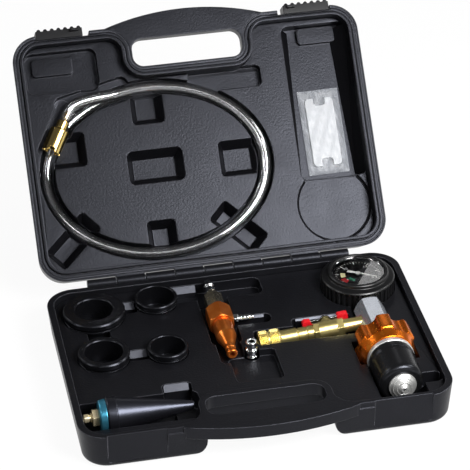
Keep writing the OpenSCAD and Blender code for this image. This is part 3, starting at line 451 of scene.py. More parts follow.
# Turned steel: a pale even ring.
WASHER = TurnedMetal("Turned steel washer", "washer_steel", "#e8e8e6", 0.34, 0.8, tarnish="#cfceca")
# Chrome plate: a clean mirror.
CHROME = TurnedMetal(
    "Chromed steel", "bright_chrome", "#e6e8e9", 0.1, tarnish="#cfd2d4", line_height_mm=0.002
)
# Turned steel: rings that break the highlight. They are drawn wider than the tool's own lines, to show.
CAP = TurnedMetal(
    "Turned cap steel", "bright_chrome", "#e4e4e2", 0.38, 0.85, tarnish="#cac9c5", line_mm=1.6,
    line_height_mm=0.06,
)
# Anodised aluminium: dyed orange metal that flares to amber in its highlights, redder on the venturi.
ORANGE = BlastedMetal("Orange anodised aluminium", "orange_anodised", "#e6741c", 0.3, 0.94, rubbed="#f8a440")
COPPER_ORANGE = BlastedMetal(
    "Satin orange anodised aluminium", "orange_anodised", "#d4702a", 0.34, 0.9, rubbed="#eea050"
)
# Anodised aluminium, dyed teal: the same soft metal glow in a cold colour.
TEAL = BlastedMetal("Teal anodised aluminium", "teal_anodised", "#4a9cba", 0.34, 0.85, rubbed="#86c2d6")
# Nickel plate over brass: bright, with the brass warming it.
NICKEL = TurnedMetal("Nickel-plated brass", "plated_brass", "#ddd3b4", 0.22, tarnish="#b0a27c")
# Spun stainless steel: grey, with rings round the gauge's axis.
GAUGE_STEEL = TurnedMetal(
    "Stainless gauge case", "gauge_steel", "#b8babb", 0.28, axis=Axis.Z, tarnish="#8f9192"
)
# Moulded nitrile rubber: deep black, with highlights painted pale along its ribs.
BOOT = MouldedPolymer(
    "Ribbed rubber boot", "boot_rubber", "#09090a", 0.32, worn="#0f0f10", grain_mm=0.7, rolled_mm=0.7,
    edge_highlight_share=0.5,
)
# Stamped brass: yellow and a little dull.
MOVEMENT = TurnedMetal("Stamped brass movement", "movement_brass", "#b9954a", 0.35, axis=Axis.Z)
# Baked enamel: a flat even black, and a flat even white.
DIAL = MouldedPolymer(
    "Black dial enamel", "dial_enamel", "#0b0c0e", 0.4, worn="#101115", grain_height_mm=0.004
)
NEEDLE = MouldedPolymer(
    "White needle enamel", "needle_enamel", "#f3f3ef", 0.4, worn="#e6e6e0", grain_height_mm=0.004
)
# Screen-printed enamel: flat colours.
RED_PRINT = MouldedPolymer(
    "Red dial print", "dial_enamel", "#c3272d", 0.45, worn="#a81f28", grain_height_mm=0.004
)
GREEN_PRINT = MouldedPolymer(
    "Green dial print", "dial_enamel", "#2f7d62", 0.45, worn="#286b55", grain_height_mm=0.004
)
CREAM_PRINT = MouldedPolymer(
    "Cream dial print", "dial_enamel", "#e6dfae", 0.45, worn="#d6cf9e", grain_height_mm=0.004
)
# Float glass: clear, with one hard reflection of a softbox.
LENS = ClearPolymer("Gauge glass", "gauge_glass", "#ffffff", 0.0, ior=1.6, haze=0.01)
# Moulded ABS: smooth black with a fine bright rim.
BEZEL = MouldedPolymer(
    "Black bezel ring", "bezel_plastic", "#111213", 0.3, worn="#18191b", grain_height_mm=0.01
)
# Turned brass: a pale lemon tone on the arm, warmer on the nut, deep yellow on the hose's coupling.
ARM_BRASS = TurnedMetal(
    "Pale turned brass", "pale_brass", "#e4d28c", 0.33, 0.95, axis=Axis.ARM, tarnish="#cbb268",
    gloss_spread=0.03,
)
WARM_BRASS = TurnedMetal(
    "Warm turned brass", "warm_brass", "#f6e6c0", 0.28, 0.78, axis=Axis.X, tarnish="#dcc48c"
)
COUPLING_BRASS = TurnedMetal(
    "Turned brass coupling", "warm_brass", "#e8cc80", 0.22, axis=Axis.COUPLING, tarnish="#bf9c50",
    line_mm=1.0,
)
# Pressed fluoropolymer: waxy white.
SEAT = MouldedPolymer("White valve seat", "seat_plastic", "#efefea", 0.45, worn="#e2e2dc")
# Stamped and plated steel: bright, with fine lines along the strip.
LEVER = TurnedMetal("Stamped lever steel", "lever_steel", "#d0d1d1", 0.22, axis=Axis.X, tarnish="#a4a6a7")
# Dipped vinyl: red, and wet-looking because no tool touched it.
SLEEVE = MouldedPolymer(
    "Red dipped vinyl", "sleeve_vinyl", "#c81a22", 0.26, worn="#b0121c", grain_height_mm=0.005
)
# Moulded nitrile rubber: a dull black ring.
SEAL = MouldedPolymer("Black seal rubber", "seal_rubber", "#0e0e0e", 0.5, worn="#161616")
# Plated steel that has dulled: grey-brown, with soft reflections.
DULL_STEEL = TurnedMetal("Dull plated steel", "dull_steel", "#a8a08e", 0.32, tarnish="#857c6a")
# Moulded rubber, still smooth from the tool: black with a long bluish sheen.
CONE = MouldedPolymer(
    "Black cone rubber", "cone_rubber", "#0b0b0e", 0.32, worn="#111114", grain_mm=1.2, shine=0.6,
    shine_tint="#d8def6",
)
# Moulded rubber: black, with highlights painted pale along its rims.
ADAPTOR = MouldedPolymer(
    "Black adaptor rubber", "adaptor_rubber", "#08080a", 0.26, worn="#0c0c0e", grain_mm=1.2,
    grain_height_mm=0.015, shine=0.3, shine_tint="#e4e8f8", rolled_mm=0.45, edge_highlight_share=0.5,
)
# Extruded clear vinyl: the dark lid shows through it, and its glossy skin draws white streaks along it.
HOSE = ClearPolymer(
    "Clear vinyl hose", "hose_vinyl", "#fafafc", 0.04, ior=1.55, clear=0.99, haze=0.02, skin=1.0,
    skin_ior=1.9,
)
# Blown polyethylene film: see-through, and milky where it folds.
FILM = PolyFilm("Polyethylene film", "bag_film", "#c9cdd3", 0.22, thin=0.1, dense=0.26)
# Moulded polyethylene: matt white.
PLATE = MouldedPolymer("White polyethylene plate", "hanger_plastic", "#97999c", 0.4, worn="#8f9195")


def mesh_from(bm: BMesh, name: str) -> bpy.types.Mesh:
    """Turns a bmesh into a smooth-shaded mesh with its sharp edges marked.

    Args:
        bm: Finished bmesh, which is freed.
        name: Name of the mesh.

    Returns:
        The mesh.
    """
    mesh = bpy.data.meshes.new(name)
    bm.to_mesh(mesh)
    bm.free()
    mesh.shade_smooth()
    mesh.set_sharp_from_angle(angle=math.radians(SMOOTH_DEG))
    return mesh


def add_bar(bm: BMesh, size_mm: Point, place: Matrix) -> None:
    """Adds a small box.

    Args:
        bm: Bmesh that gets the box.
        size_mm: Its three sides.
        place: Where it goes, in metres.
    """
    scale = Matrix.Diagonal((*(s * MM for s in size_mm), 1.0))
    bmesh.ops.create_cube(bm, size=1.0, matrix=place @ scale)


def bevel_edges(bm: BMesh, edges: list[bmesh.types.BMEdge], width_mm: float, segments: int) -> None:
    """Bevels edges of a bmesh.

    Args:
        bm: Bmesh to change.
        edges: Edges to bevel.
        width_mm: How far the bevel reaches from each edge.
        segments: Number of steps across it.
    """
    bmesh.ops.bevel(
        bm,
        geom=edges,
        offset=width_mm * MM,
        offset_type="OFFSET",
        segments=segments,
        profile=0.5,
        affect="EDGES",
        clamp_overlap=False,
        material=-1,
    )


def faces_round(verts: list[BMVert]) -> list[bmesh.types.BMFace]:
    """Gives the faces that meet at some points, each once."""
    return list(dict.fromkeys(face for vert in verts for face in vert.link_faces))


def spin_section(bm: BMesh, section: list[BMVert], sweep_deg: float, step_deg: float) -> list[BMVert]:
    """Spins a section about the local Z axis and turns its faces outwards.

    Args:
        bm: Bmesh that holds the section.
        section: Points of the section.
        sweep_deg: Angle that the spin covers.
        step_deg: Angle of one step, about.

    Returns:
        Every point of the spun shape.
    """
    before = set(bm.verts) - set(section)
    edges = dict.fromkeys(e for v in section for e in v.link_edges)
    bmesh.ops.spin(
        bm,
        geom=[*section, *edges, *faces_round(section)],
        cent=(0.0, 0.0, 0.0),
        axis=(0.0, 0.0, 1.0),
        angle=math.radians(sweep_deg),
        steps=round(sweep_deg / step_deg),
        use_merge=sweep_deg >= 360.0,
        use_duplicate=False,
    )
    made = [v for v in bm.verts if v not in before]
    bmesh.ops.recalc_face_normals(bm, faces=faces_round(made))
    return made


def add_arc_band(
    bm: BMesh, radii_mm: Span, start_deg: float, sweep_deg: float, place: Matrix, step_deg: float = 5.0
) -> None:
    """Adds a thin printed band along an arc.

    Args:
        bm: Bmesh that gets the band.
        radii_mm: Inner and outer radius.
        start_deg: Angle at which it starts.
        sweep_deg: Angle that it covers.
        place: Centre and plane of the arc, in metres.
        step_deg: Angle of one step, about.
    """
    turn = Matrix.Rotation(math.radians(start_deg), 4, "Z")
    ends = [bm.verts.new(turn @ Vector((r * MM, 0.0, 0.0))) for r in radii_mm]
    bm.edges.new(ends)
    made = spin_section(bm, ends, sweep_deg, step_deg)
    grown = bmesh.ops.extrude_face_region(bm, geom=faces_round(made))
    top = [v for v in grown["geom"] if isinstance(v, BMVert)]
    bmesh.ops.translate(bm, verts=top, vec=(0.0, 0.0, PRINT_MM * MM))
    bmesh.ops.transform(bm, matrix=place, verts=[*made, *top])


def add_rim(
    bm: BMesh,
    ring_mm: float,
    wire_mm: float,
    place: Matrix,
    start_deg: float = 0.0,
    sweep_deg: float = 360.0,
    step_deg: float = 3.75,
    sides: int = 14,
) -> None:
    """Adds a round rim about the local Z axis.

    Args:
        bm: Bmesh that gets the rim.
        ring_mm: Radius of the rim's middle line.
        wire_mm: Radius of its section.
        place: Centre and plane of the rim, in metres.
        start_deg: Angle at which it starts.
        sweep_deg: Angle that it covers.
        step_deg: Angle of one step, about.
        sides: Number of sides of its section.
    """
    stand = Matrix.Translation((ring_mm * MM, 0.0, 0.0)) @ Matrix.Rotation(math.pi / 2, 4, "X")
    turn = Matrix.Rotation(math.radians(start_deg), 4, "Z")
    section = bmesh.ops.create_circle(
        bm, cap_ends=sweep_deg < 360.0, segments=sides, radius=wire_mm * MM, matrix=turn @ stand
    )["verts"]
    made = spin_section(bm, section, sweep_deg, step_deg)
    bmesh.ops.transform(bm, matrix=place, verts=made)


def add_numeral(bm: BMesh, text: str, size_mm: float, place: Matrix) -> None:
    """Adds a printed number.

    Args:
        bm: Bmesh that gets the number.
        text: Its digits.
        size_mm: Height of the type.
        place: Middle and plane of the number, in metres.
    """
    curve = bpy.data.curves.new("numeral", "FONT")
    curve.body = text
    curve.size = size_mm * MM
    curve.extrude = PRINT_MM / 2 * MM
    curve.align_x = "CENTER"
    curve.align_y = "CENTER"
    holder = bpy.data.objects.new("numeral", curve)
    mesh = bpy.data.meshes.new_from_object(holder)
    mesh.transform(place)
    bm.from_mesh(mesh)
    bpy.data.objects.remove(holder)
    bpy.data.curves.remove(curve)
    bpy.data.meshes.remove(mesh)


def along(axis: Axis, start_mm: Vector) -> Matrix:
    """Gives the matrix that lays the local Z axis along a spindle.

    Args:
        axis: Spindle direction.
        start_mm: Point on the spindle.

    Returns:
        The matrix, in metres.
    """
    turn = Vector((0.0, 0.0, 1.0)).rotation_difference(Vector(axis.value)).to_matrix().to_4x4()
    return Matrix.Translation(start_mm * MM) @ turn


@dataclass
class PackedKit:
    """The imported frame, with what every sub-assembly does to its nodes."""

    frame: dict[str, Any]
    ease_deg: float = 28.0
    ease_steps: int = 2
    stray: float = 0.6
    flat_weight: int = 100

    def body(self, node: str) -> str:
        """Gives the body that a CAD node rides on."""
        return self.frame["nodes"][node]["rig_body"]

    def dress(self, finish: Finish, *nodes: str) -> None:
        """Gives CAD nodes their finish.

        Args:
            finish: Finish of the nodes.
            *nodes: CAD nodes whose shape stays.
        """
        for node in nodes:
            for material_slot in self.frame["nodes"][node].material_slots:
                material_slot.material = finish.make()
            LOG.info("%s: %s", node, finish.name)

    def add(self, name: str, bm: BMesh, body: str, finish: Finish, *replaced: str) -> bpy.types.Object:
        """Adds a piece that rides on a body.

        Args:
            name: Name of the piece.
            bm: Its finished bmesh, placed in the shared frame.
            body: CAD body that carries it.
            finish: Its finish.
            *replaced: CAD nodes that it stands for.

        Returns:
            The piece's object.
        """
        mesh = mesh_from(bm, name)
        piece = bpy.data.objects.new(name, mesh)
        bpy.context.scene.collection.objects.link(piece)
        mesh.materials.clear()
        mesh.materials.append(finish.make())
        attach(piece, body)
        if replaced:
            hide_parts(*replaced)
        LOG.info("%s: %s on %s", name, finish.name, body)
        return piece

    def ease(self, finish: Finish, width_mm: float, *nodes: str) -> list[bpy.types.Object]:
        """Replaces CAD nodes by copies whose sharp edges are eased, as moulding and machining leave them.

        Args:
            finish: Finish of the copies.
            width_mm: Width of the eased edge.
            *nodes: CAD nodes to copy.

        Returns:
            The new pieces.
        """
        made = []
        limit = math.radians(self.ease_deg)
        for node in nodes:
            bm = bmesh.new()
            bm.from_mesh(self.frame["nodes"][node].data)
            bmesh.ops.remove_doubles(bm, verts=bm.verts[:], dist=MERGE_M)
            surface = BVHTree.FromBMesh(bm)
            joined = [e for e in bm.edges if len(e.link_faces) == 2]
            sharp = [e for e in joined if abs(e.calc_face_angle_signed(0.0)) > limit]
            bevel_edges(bm, sharp, width_mm, self.ease_steps)
            self.settle(bm, surface, self.stray * width_mm * MM)
            piece = self.add(f"{node}_eased", bm, self.body(node), finish, node)
            flats = piece.modifiers.new("Flat faces", "WEIGHTED_NORMAL")
            flats.weight = self.flat_weight
            flats.keep_sharp = True
            made.append(piece)
        return made

    def settle(self, bm: BMesh, surface: BVHTree, reach: float) -> None:
        """Brings back points that an eased edge threw off the surface.

        Args:
            bm: Eased bmesh.
            surface: Surface before it was eased.
            reach: How far a point may lie from it, in metres.
        """
        for vert in bm.verts:
            nearest, _, _, gap = surface.find_nearest(vert.co)
            if gap > reach:
                vert.co = nearest
        bmesh.ops.dissolve_degenerate(bm, dist=MERGE_M, edges=bm.edges[:])


@dataclass(frozen=True)
class LidPose:
    """Where the open lid stands: turned about the hinge pin from its closed place."""

    hinge_y: float = 133.2
    hinge_z: float = 35.0
    open_deg: float = 130.0

    def matrix(self) -> Matrix:
        """Gives the turn from the closed lid to the open one.

        Returns:
            The matrix, in metres.
        """
        pin = Vector((0.0, self.hinge_y, self.hinge_z)) * MM
        turn = Matrix.Rotation(-math.radians(self.open_deg), 4, "X")
        return Matrix.Translation(pin) @ turn @ Matrix.Translation(-pin)


# Finish, width of the eased edge and nodes; and finish and nodes.
Eased = tuple[tuple[Finish, float, tuple[str, ...]], ...]
Dressed = tuple[tuple[Finish, tuple[str, ...]], ...]


@dataclass
class SubAssembly:
    """A group of pieces: CAD nodes that get eased edges, those that are only dressed, and what is added."""

    kit: PackedKit
    eased: Eased = ()
    dressed: Dressed = ()
    pose: LidPose = LidPose()

    def build(self) -> None:
        """Eases and dresses the CAD nodes, and adds the group's own pieces."""
        for finish, width, nodes in self.eased:
            self.kit.ease(finish, width, *nodes)
        for finish, nodes in self.dressed:
            self.kit.dress(finish, *nodes)
        self.detail()

    def detail(self) -> None:
        """Adds the small pieces that the CAD model leaves out."""


@dataclass
class CarryCase(SubAssembly):
    """The moulded case with its hinge and latches."""

    eased: Eased = (
        (CASE, 0.7, ("base_shell", "lid_shell")),
        (TRAY, 0.7, ("base_tray", "lid_tray")),
        (LATCH, 0.4, ("latch_left", "latch_right")),
    )
    dressed: Dressed = ((PIN, ("hinge_pin",)),)
    ramp_top: float = 29.2
    ramp_in: float = 0.3
    # Name, left end, right end, back wall, floor and run of each slope.
    ramps: tuple[tuple[str, float, float, float, float, float], ...] = (
        ("back_hollow_ramp", -107.0, -93.2, 102.2, 16.0, 5.6),
        ("middle_hollow_ramp", -111.0, -94.4, 18.2, 16.0, 5.6),
        ("cone_hollow_ramp", -89.0, -65.0, -44.8, 14.0, 5.6),
        ("finger_slot_ramp", -54.0, -28.0, 118.7, 18.0, 5.6),
        ("nipple_hollow_ramp", 0.0, 29.0, 52.7, 18.0, 2.4),
        ("lever_hollow_ramp", 58.0, 106.0, 36.8, 5.0, 2.0),
    )
    wedge_y: Span = (-108.0, 48.0)
    wedge_z: Span = (49.5, 69.2)
    wedge_lip: float = 0.1
    # Name, wall, run by the handle and run by the gauge's hollow.
    wedges: tuple[tuple[str, float, float, float], ...] = (
        ("channel_left_slope", 100.8, 10.2, 4.0),
        ("channel_right_slope", 171.2, -17.0, -10.0),
    )
    hollow_middle: Point = (131.5, 78.6, 53.2)
    hollow_r: float = 39.0
    foot_wire: float = 1.2
    foot_arc: Span = (-44.0, 268.0)

    def detail(self) -> None:
        """Slopes the walls of the hollows and rounds the foot of one; the lid's leaning walls and the foot
        are dark as painted shade.
        """
        for ramp in self.ramps:
            self.slope(*ramp)
        for wedge in self.wedges:
            self.lean(*wedge)
        self.round_foot()

    def slope(self, name: str, left: float, right: float, back: float, floor: float, run: float) -> None:
        """Slopes the back wall of a hollow, as the mould's draft leaves it, in the shinier copy of the tray
        plastic that paints its sheen.

        Args:
            name: Name of the piece.
            left: Left end of the slope.
            right: Right end of the slope.
            back: Where the hollow's back wall stands.
            floor: Height of the hollow's floor.
            run: How far the slope comes forward.
        """
        bm = bmesh.new()
        middle = Vector(((left + right) / 2, back - run / 2, (floor + self.ramp_top) / 2)) * MM
        add_bar(bm, (right - left, run, self.ramp_top - floor), Matrix.Translation(middle))
        front_top = [e for e in bm.edges if all(v.co.y < middle.y and v.co.z > middle.z for v in e.verts)]
        bevel_edges(bm, front_top, run - self.ramp_in, 1)
        self.kit.add(name, bm, self.kit.body("base_tray"), SLOPE)

    def lean(self, name: str, wall: float, back_run: float, front_run: float) -> None:
        """Leans a side wall of the lid's long channel, as the mould's draft leaves it, dark as painted shade
        along the wall.

        Args:
            name: Name of the piece.
            wall: Where the wall stands across the closed lid.
            back_run: How far its foot comes in at the end by the handle.
            front_run: How far its foot comes in at the end by the gauge's hollow.
        """
        bm = bmesh.new()
        (back, front), (mouth, foot) = self.wedge_y, self.wedge_z
        middle = Vector((wall, (back + front) / 2, (mouth + foot) / 2)) * MM
        add_bar(bm, (1.0, front - back, foot - mouth), Matrix.Translation(middle))
        for vert in bm.verts:
            run = front_run if vert.co.y > middle.y else back_run
            inner = (vert.co.x - middle.x) * run > 0
            share = 1.0 if vert.co.z > middle.z else self.wedge_lip
            vert.co.x = (wall + (share * run if inner else 0.0)) * MM
        bmesh.ops.recalc_face_normals(bm, faces=bm.faces[:])
        bm.transform(self.pose.matrix())
        self.kit.add(name, bm, self.kit.body("lid_tray"), SHADED)

    def round_foot(self) -> None:
        """Rounds the foot of the wall round the gauge's hollow in the lid, as a dark line of painted shade.
        """
        bm = bmesh.new()
        place = Matrix.Translation(Vector(self.hollow_middle) * MM)
        add_rim(bm, self.hollow_r - self.foot_wire, self.foot_wire, place, *self.foot_arc)
        bm.transform(self.pose.matrix())
        self.kit.add("hollow_foot", bm, self.kit.body("lid_tray"), SHADED)


@dataclass
class FillerHead(SubAssembly):
    """Hexagon body, rubber plug, washer, cap and lobed knob on one axis."""

    eased: Eased = (
        (HEXAGON, 0.4, ("head_body",)),
        (CAP, 0.3, ("end_cap",)),
        (PLUG, 1.0, ("expander_plug",)),
        (WASHER, 0.3, ("clamp_washer",)),
        (ORANGE, 0.9, ("clamp_knob",)),
    )
    dressed: Dressed = ((CHROME, ("plug_stem",)),)
    rim_wire: float = 1.1
    rim_out: float = 0.3
    # Radius, section's radius and distance behind the cap's front of each ring.
    cap_rings: tuple[Point, ...] = ((6.9, 0.55, 2.95), (10.2, 0.6, 5.0), (12.9, 0.6, 7.4))

    def detail(self) -> None:
        """Rolls the washer's edge towards the plug, and turns the rings on the end cap."""
        low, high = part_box("clamp_washer")
        bm = bmesh.new()
        ring = (high.x - low.x) / 2 / MM + self.rim_out - self.rim_wire
        add_rim(bm, ring, self.rim_wire, self.across("clamp_washer", 0.0))
        self.kit.add("washer_rim", bm, self.kit.body("clamp_washer"), WASHER)
        bm = bmesh.new()
        for ring, wire, back in self.cap_rings:
            add_rim(bm, ring, wire, self.across("end_cap", back))
        self.kit.add("cap_rings", bm, self.kit.body("end_cap"), CAP)

    def across(self, node: str, back: float) -> Matrix:
        """Gives a plane across the head's axis.

        Args:
            node: CAD node whose front end it is measured from.
            back: How far behind that end it lies.

        Returns:
            The plane's place, in metres.
        """
        low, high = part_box(node)
        middle = Vector(((low.x + high.x) / 2, low.y + back * MM, (low.z + high.z) / 2))
        return Matrix.Translation(middle) @ Matrix.Rotation(math.pi / 2, 4, "X")


@dataclass
class VacuumGauge(SubAssembly):
    """The gauge in its rubber boot, with a printed dial."""

    eased: Eased = (
        (BOOT, 0.6, ("gauge_boot",)),
        (NICKEL, 0.3, ("gauge_stem",)),
    )
    dressed: Dressed = (
        (GAUGE_STEEL, ("gauge_case",)),
        (MOVEMENT, ("gauge_movement", "bourdon_tube")),
        (DIAL, ("gauge_dial",)),
        (NEEDLE, ("gauge_needle",)),
        (LENS, ("gauge_lens",)),
        (BEZEL, ("gauge_bezel",)),
    )
    start_deg: float = -31.0
    sweep_deg: float = 240.0
    last_mark: int = 30
    long_every: int = 5
    number_every: int = 10
    mark_outer: float = 23.0
    # Length and width of a mark.
    long_mark: Span = (4.2, 0.7)
    short_mark: Span = (2.2, 0.35)
    number_in: float = 7.2
    number_size: float = 4.6
    # Name, finish, radii, start and sweep of each coloured band.
    bands: tuple[tuple[str, Finish, Span, float, float], ...] = (
        ("dial_red_band", RED_PRINT, (14.5, 19.5), 195.0, 27.0),
        ("dial_green_band", GREEN_PRINT, (9.0, 13.5), 200.0, 42.0),
        ("dial_cream_band", CREAM_PRINT, (12.5, 17.5), 160.0, 28.0),
    )

    def detail(self) -> None:
        """Prints the dial's marks, numbers and coloured bands."""
        low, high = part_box("gauge_dial")
        centre = Matrix.Translation(Vector(((low.x + high.x) / 2, (low.y + high.y) / 2, high.z)))
        body = self.kit.body("gauge_dial")
        bm = bmesh.new()
        for mark in range(self.last_mark + 1):
            angle = self.start_deg + self.sweep_deg * mark / self.last_mark
            turn = Matrix.Rotation(math.radians(angle), 4, "Z")
            length, width = self.short_mark if mark % self.long_every else self.long_mark
            reach = Matrix.Translation(Vector((self.mark_outer - length / 2, 0.0, PRINT_MM / 2)) * MM)
            add_bar(bm, (length, width, PRINT_MM), centre @ turn @ reach)
            if mark % self.number_every == 0:
                spot = turn @ (Vector((self.mark_outer - self.number_in, 0.0, PRINT_MM / 2)) * MM)
                add_numeral(bm, str(mark), self.number_size, centre @ Matrix.Translation(spot))
        self.kit.add("dial_scale", bm, body, NEEDLE)
        for name, finish, radii, start, sweep in self.bands:
            bm = bmesh.new()
            add_arc_band(bm, radii, start, sweep, centre)
            self.kit.add(name, bm, body, finish)


@dataclass
class ValveArm(SubAssembly):
    """Ball valve with its lever, and the quick coupler at the arm's end."""

    eased: Eased = (
        (ARM_BRASS, 0.25, ("valve_nipple", "valve_body", "coupler_body", "coupler_collar")),
        (LEVER, 0.25, ("valve_lever", "lever_nut")),
        (SLEEVE, 0.5, ("lever_sleeves",)),
    )
    dressed: Dressed = (
        (CHROME, ("valve_ball", "valve_stem")),
        (SEAT, ("valve_seats",)),
        (SEAL, ("coupler_seal",)),
    )
    # Name of each knurled band, and its shift from the collar's middle.
    bands: tuple[tuple[str, float], ...] = (("far_knurl", -6.2), ("near_knurl", 4.6))
    band_len: float = 8.0
    knurl_r: float = 9.97
    knurl_h: float = 0.85
    knurl_skin: float = 0.5
    knurl_rows: int = 4
    diamonds: int = 32

    def detail(self) -> None:
        """Knurls both bands of the collar."""
        for name, shift in self.bands:
            self.knurl(name, shift)

    def knurl(self, name: str, shift: float) -> None:
        """Rolls a diamond knurl round the coupler's collar.

        Args:
            name: Name of the band.
            shift: Where the band's middle lies along the arm, from the collar's own middle.
        """
        low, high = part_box("coupler_collar")
        middle = (low + high) / 2 / MM + Vector(Axis.ARM.value) * shift
        bm = bmesh.new()
        bmesh.ops.create_cone(
            bm,
            cap_ends=False,
            segments=self.diamonds,
            radius1=self.knurl_r * MM,
            radius2=self.knurl_r * MM,
            depth=self.band_len * MM,
            matrix=along(Axis.ARM, middle),
        )
        lengthwise = [e for e in bm.edges if len(e.link_faces) == 2]
        bmesh.ops.subdivide_edges(bm, edges=lengthwise, cuts=self.knurl_rows - 1)
        squares = bm.edges[:]
        bmesh.ops.poke(bm, faces=bm.faces[:], offset=0.0, center_mode="MEAN")
        inner = [e for e in squares if len(e.link_faces) == 2]
        bmesh.ops.dissolve_edges(bm, edges=inner, use_verts=False)
        bmesh.ops.recalc_face_normals(bm, faces=bm.faces[:])
        bmesh.ops.poke(bm, faces=bm.faces[:], offset=self.knurl_h * MM, center_mode="MEAN")
        piece = self.kit.add(name, bm, self.kit.body("coupler_collar"), ARM_BRASS)
        piece.data.shade_flat()
        skin = piece.modifiers.new("Skin", "SOLIDIFY")
        skin.thickness = self.knurl_skin * MM
        skin.offset = -1.0


@dataclass
class Venturi(SubAssembly):
    """The orange venturi with its hexagon adaptor, air plug and side nipple, and the spare nipple."""

    eased: Eased = (
        (COPPER_ORANGE, 0.4, ("venturi_body",)),
        (DULL_STEEL, 0.3, ("venturi_adaptor",)),
        (CHROME, 0.25, ("air_plug", "side_nipple", "spare_nipple")),
    )


@dataclass
class NeckAdaptors(SubAssembly):
    """The cone adaptor, the ring adaptors and the cups."""

    eased: Eased = (
        (CONE, 0.5, ("cone_rubber",)),
        (TEAL, 0.3, ("cone_ring",)),
        (WARM_BRASS, 0.3, ("cone_nut", "cone_stem")),
        (ADAPTOR, 0.3, ("large_adaptor", "medium_adaptor", "back_cup", "front_cup")),
    )


@dataclass
class HoseCoil(SubAssembly):
    """The clear hose: a lead from its coupling, then one turn round the lid's oval and part of one below."""

    outside: float = 12.0
    bore: float = 8.0
    oval: Span = (113.0, 85.7)
    middle: Span = (-46.0, 21.3)
    upper_z: float = 53.5
    layer_step: float = 12.6
    coupling_z: float = 49.6
    start: Span = (-135.0, -38.0)
    lead: Span = (0.5, -0.866)
    handle: float = 14.0
    join_deg: float = 256.0
    end_deg: float = 735.0
    dive_deg: Span = (400.0, 570.0)
    lead_steps: int = 3
    bend_steps: int = 12
    oval_steps: int = 144
    round_steps: int = 6
    # Node, and width of its eased edges.
    fittings: tuple[tuple[str, float], ...] = (("hose_coupling", 0.4), ("hose_ferrule", 0.25))

    def oval_point(self, angle_deg: float) -> Vector:
        """Gives a point of the oval in plan."""
        t = math.radians(angle_deg)
        return Vector(self.middle) + Vector((self.oval[0] * math.cos(t), self.oval[1] * math.sin(t)))

    def oval_way(self, angle_deg: float) -> Vector:
        """Gives the oval's direction in plan."""
        t = math.radians(angle_deg)
        return Vector((-self.oval[0] * math.sin(t), self.oval[1] * math.cos(t))).normalized()

    def route(self) -> list[Vector]:
        """Works out the hose's middle line.

        Returns:
            Points in metres, in the open lid.
        """

        def eased(t: float) -> float:
            """Gives a soft step from 0 to 1."""
            u = min(1.0, max(0.0, t))
            return u * u * (3 - 2 * u)

        lead, start = Vector(self.lead), Vector(self.start)
        lead_end = start + lead * self.outside
        join = self.oval_point(self.join_deg)
        hands = (lead_end + lead * self.handle, join - self.oval_way(self.join_deg) * self.handle)
        shares = [i / self.lead_steps for i in range(self.lead_steps + 1)]
        points = [(*(start + lead * self.outside * t), self.coupling_z) for t in shares]
        for i in range(1, self.bend_steps):
            t = i / self.bend_steps
            p = (1 - t) ** 3 * lead_end + t**3 * join
            p += 3 * t * (1 - t) ** 2 * hands[0] + 3 * t * t * (1 - t) * hands[1]
            points.append((*p, self.coupling_z + (self.upper_z - self.coupling_z) * eased(t)))
        low, high = self.dive_deg
        for i in range(self.oval_steps + 1):
            angle = self.join_deg + (self.end_deg - self.join_deg) * i / self.oval_steps
            z = self.upper_z + self.layer_step * eased((angle - low) / (high - low))
            points.append((*self.oval_point(angle), z))
        tail = self.oval_point(self.end_deg) + self.oval_way(self.end_deg) * self.outside
        points.append((*tail, self.upper_z + self.layer_step))
        return [self.pose.matrix() @ (Vector(p) * MM) for p in points]

    def detail(self) -> None:
        points = self.route()
        curve = bpy.data.curves.new("hose_line", "CURVE")
        curve.dimensions = "3D"
        curve.bevel_depth = self.outside / 2 * MM
        curve.bevel_resolution = self.round_steps
        spline = curve.splines.new("POLY")
        spline.points.add(len(points) - 1)
        for knot, point in zip(spline.points, points):
            knot.co = (*point, 1.0)
        holder = bpy.data.objects.new("hose_line", curve)
        mesh = bpy.data.meshes.new_from_object(holder)
        bpy.data.objects.remove(holder)
        bm = bmesh.new()
        bm.from_mesh(mesh)
        bmesh.ops.remove_doubles(bm, verts=bm.verts[:], dist=MERGE_M)
        bmesh.ops.recalc_face_normals(bm, faces=bm.faces[:])
        hose = self.kit.add("clear_hose", bm, self.kit.body("hose"), HOSE, "hose")
        wall = hose.modifiers.new("Wall", "SOLIDIFY")
        wall.thickness = (self.outside - self.bore) / 2 * MM
        wall.offset = -1.0
        fittings = [self.kit.ease(COUPLING_BRASS, width, node)[0] for node, width in self.fittings]


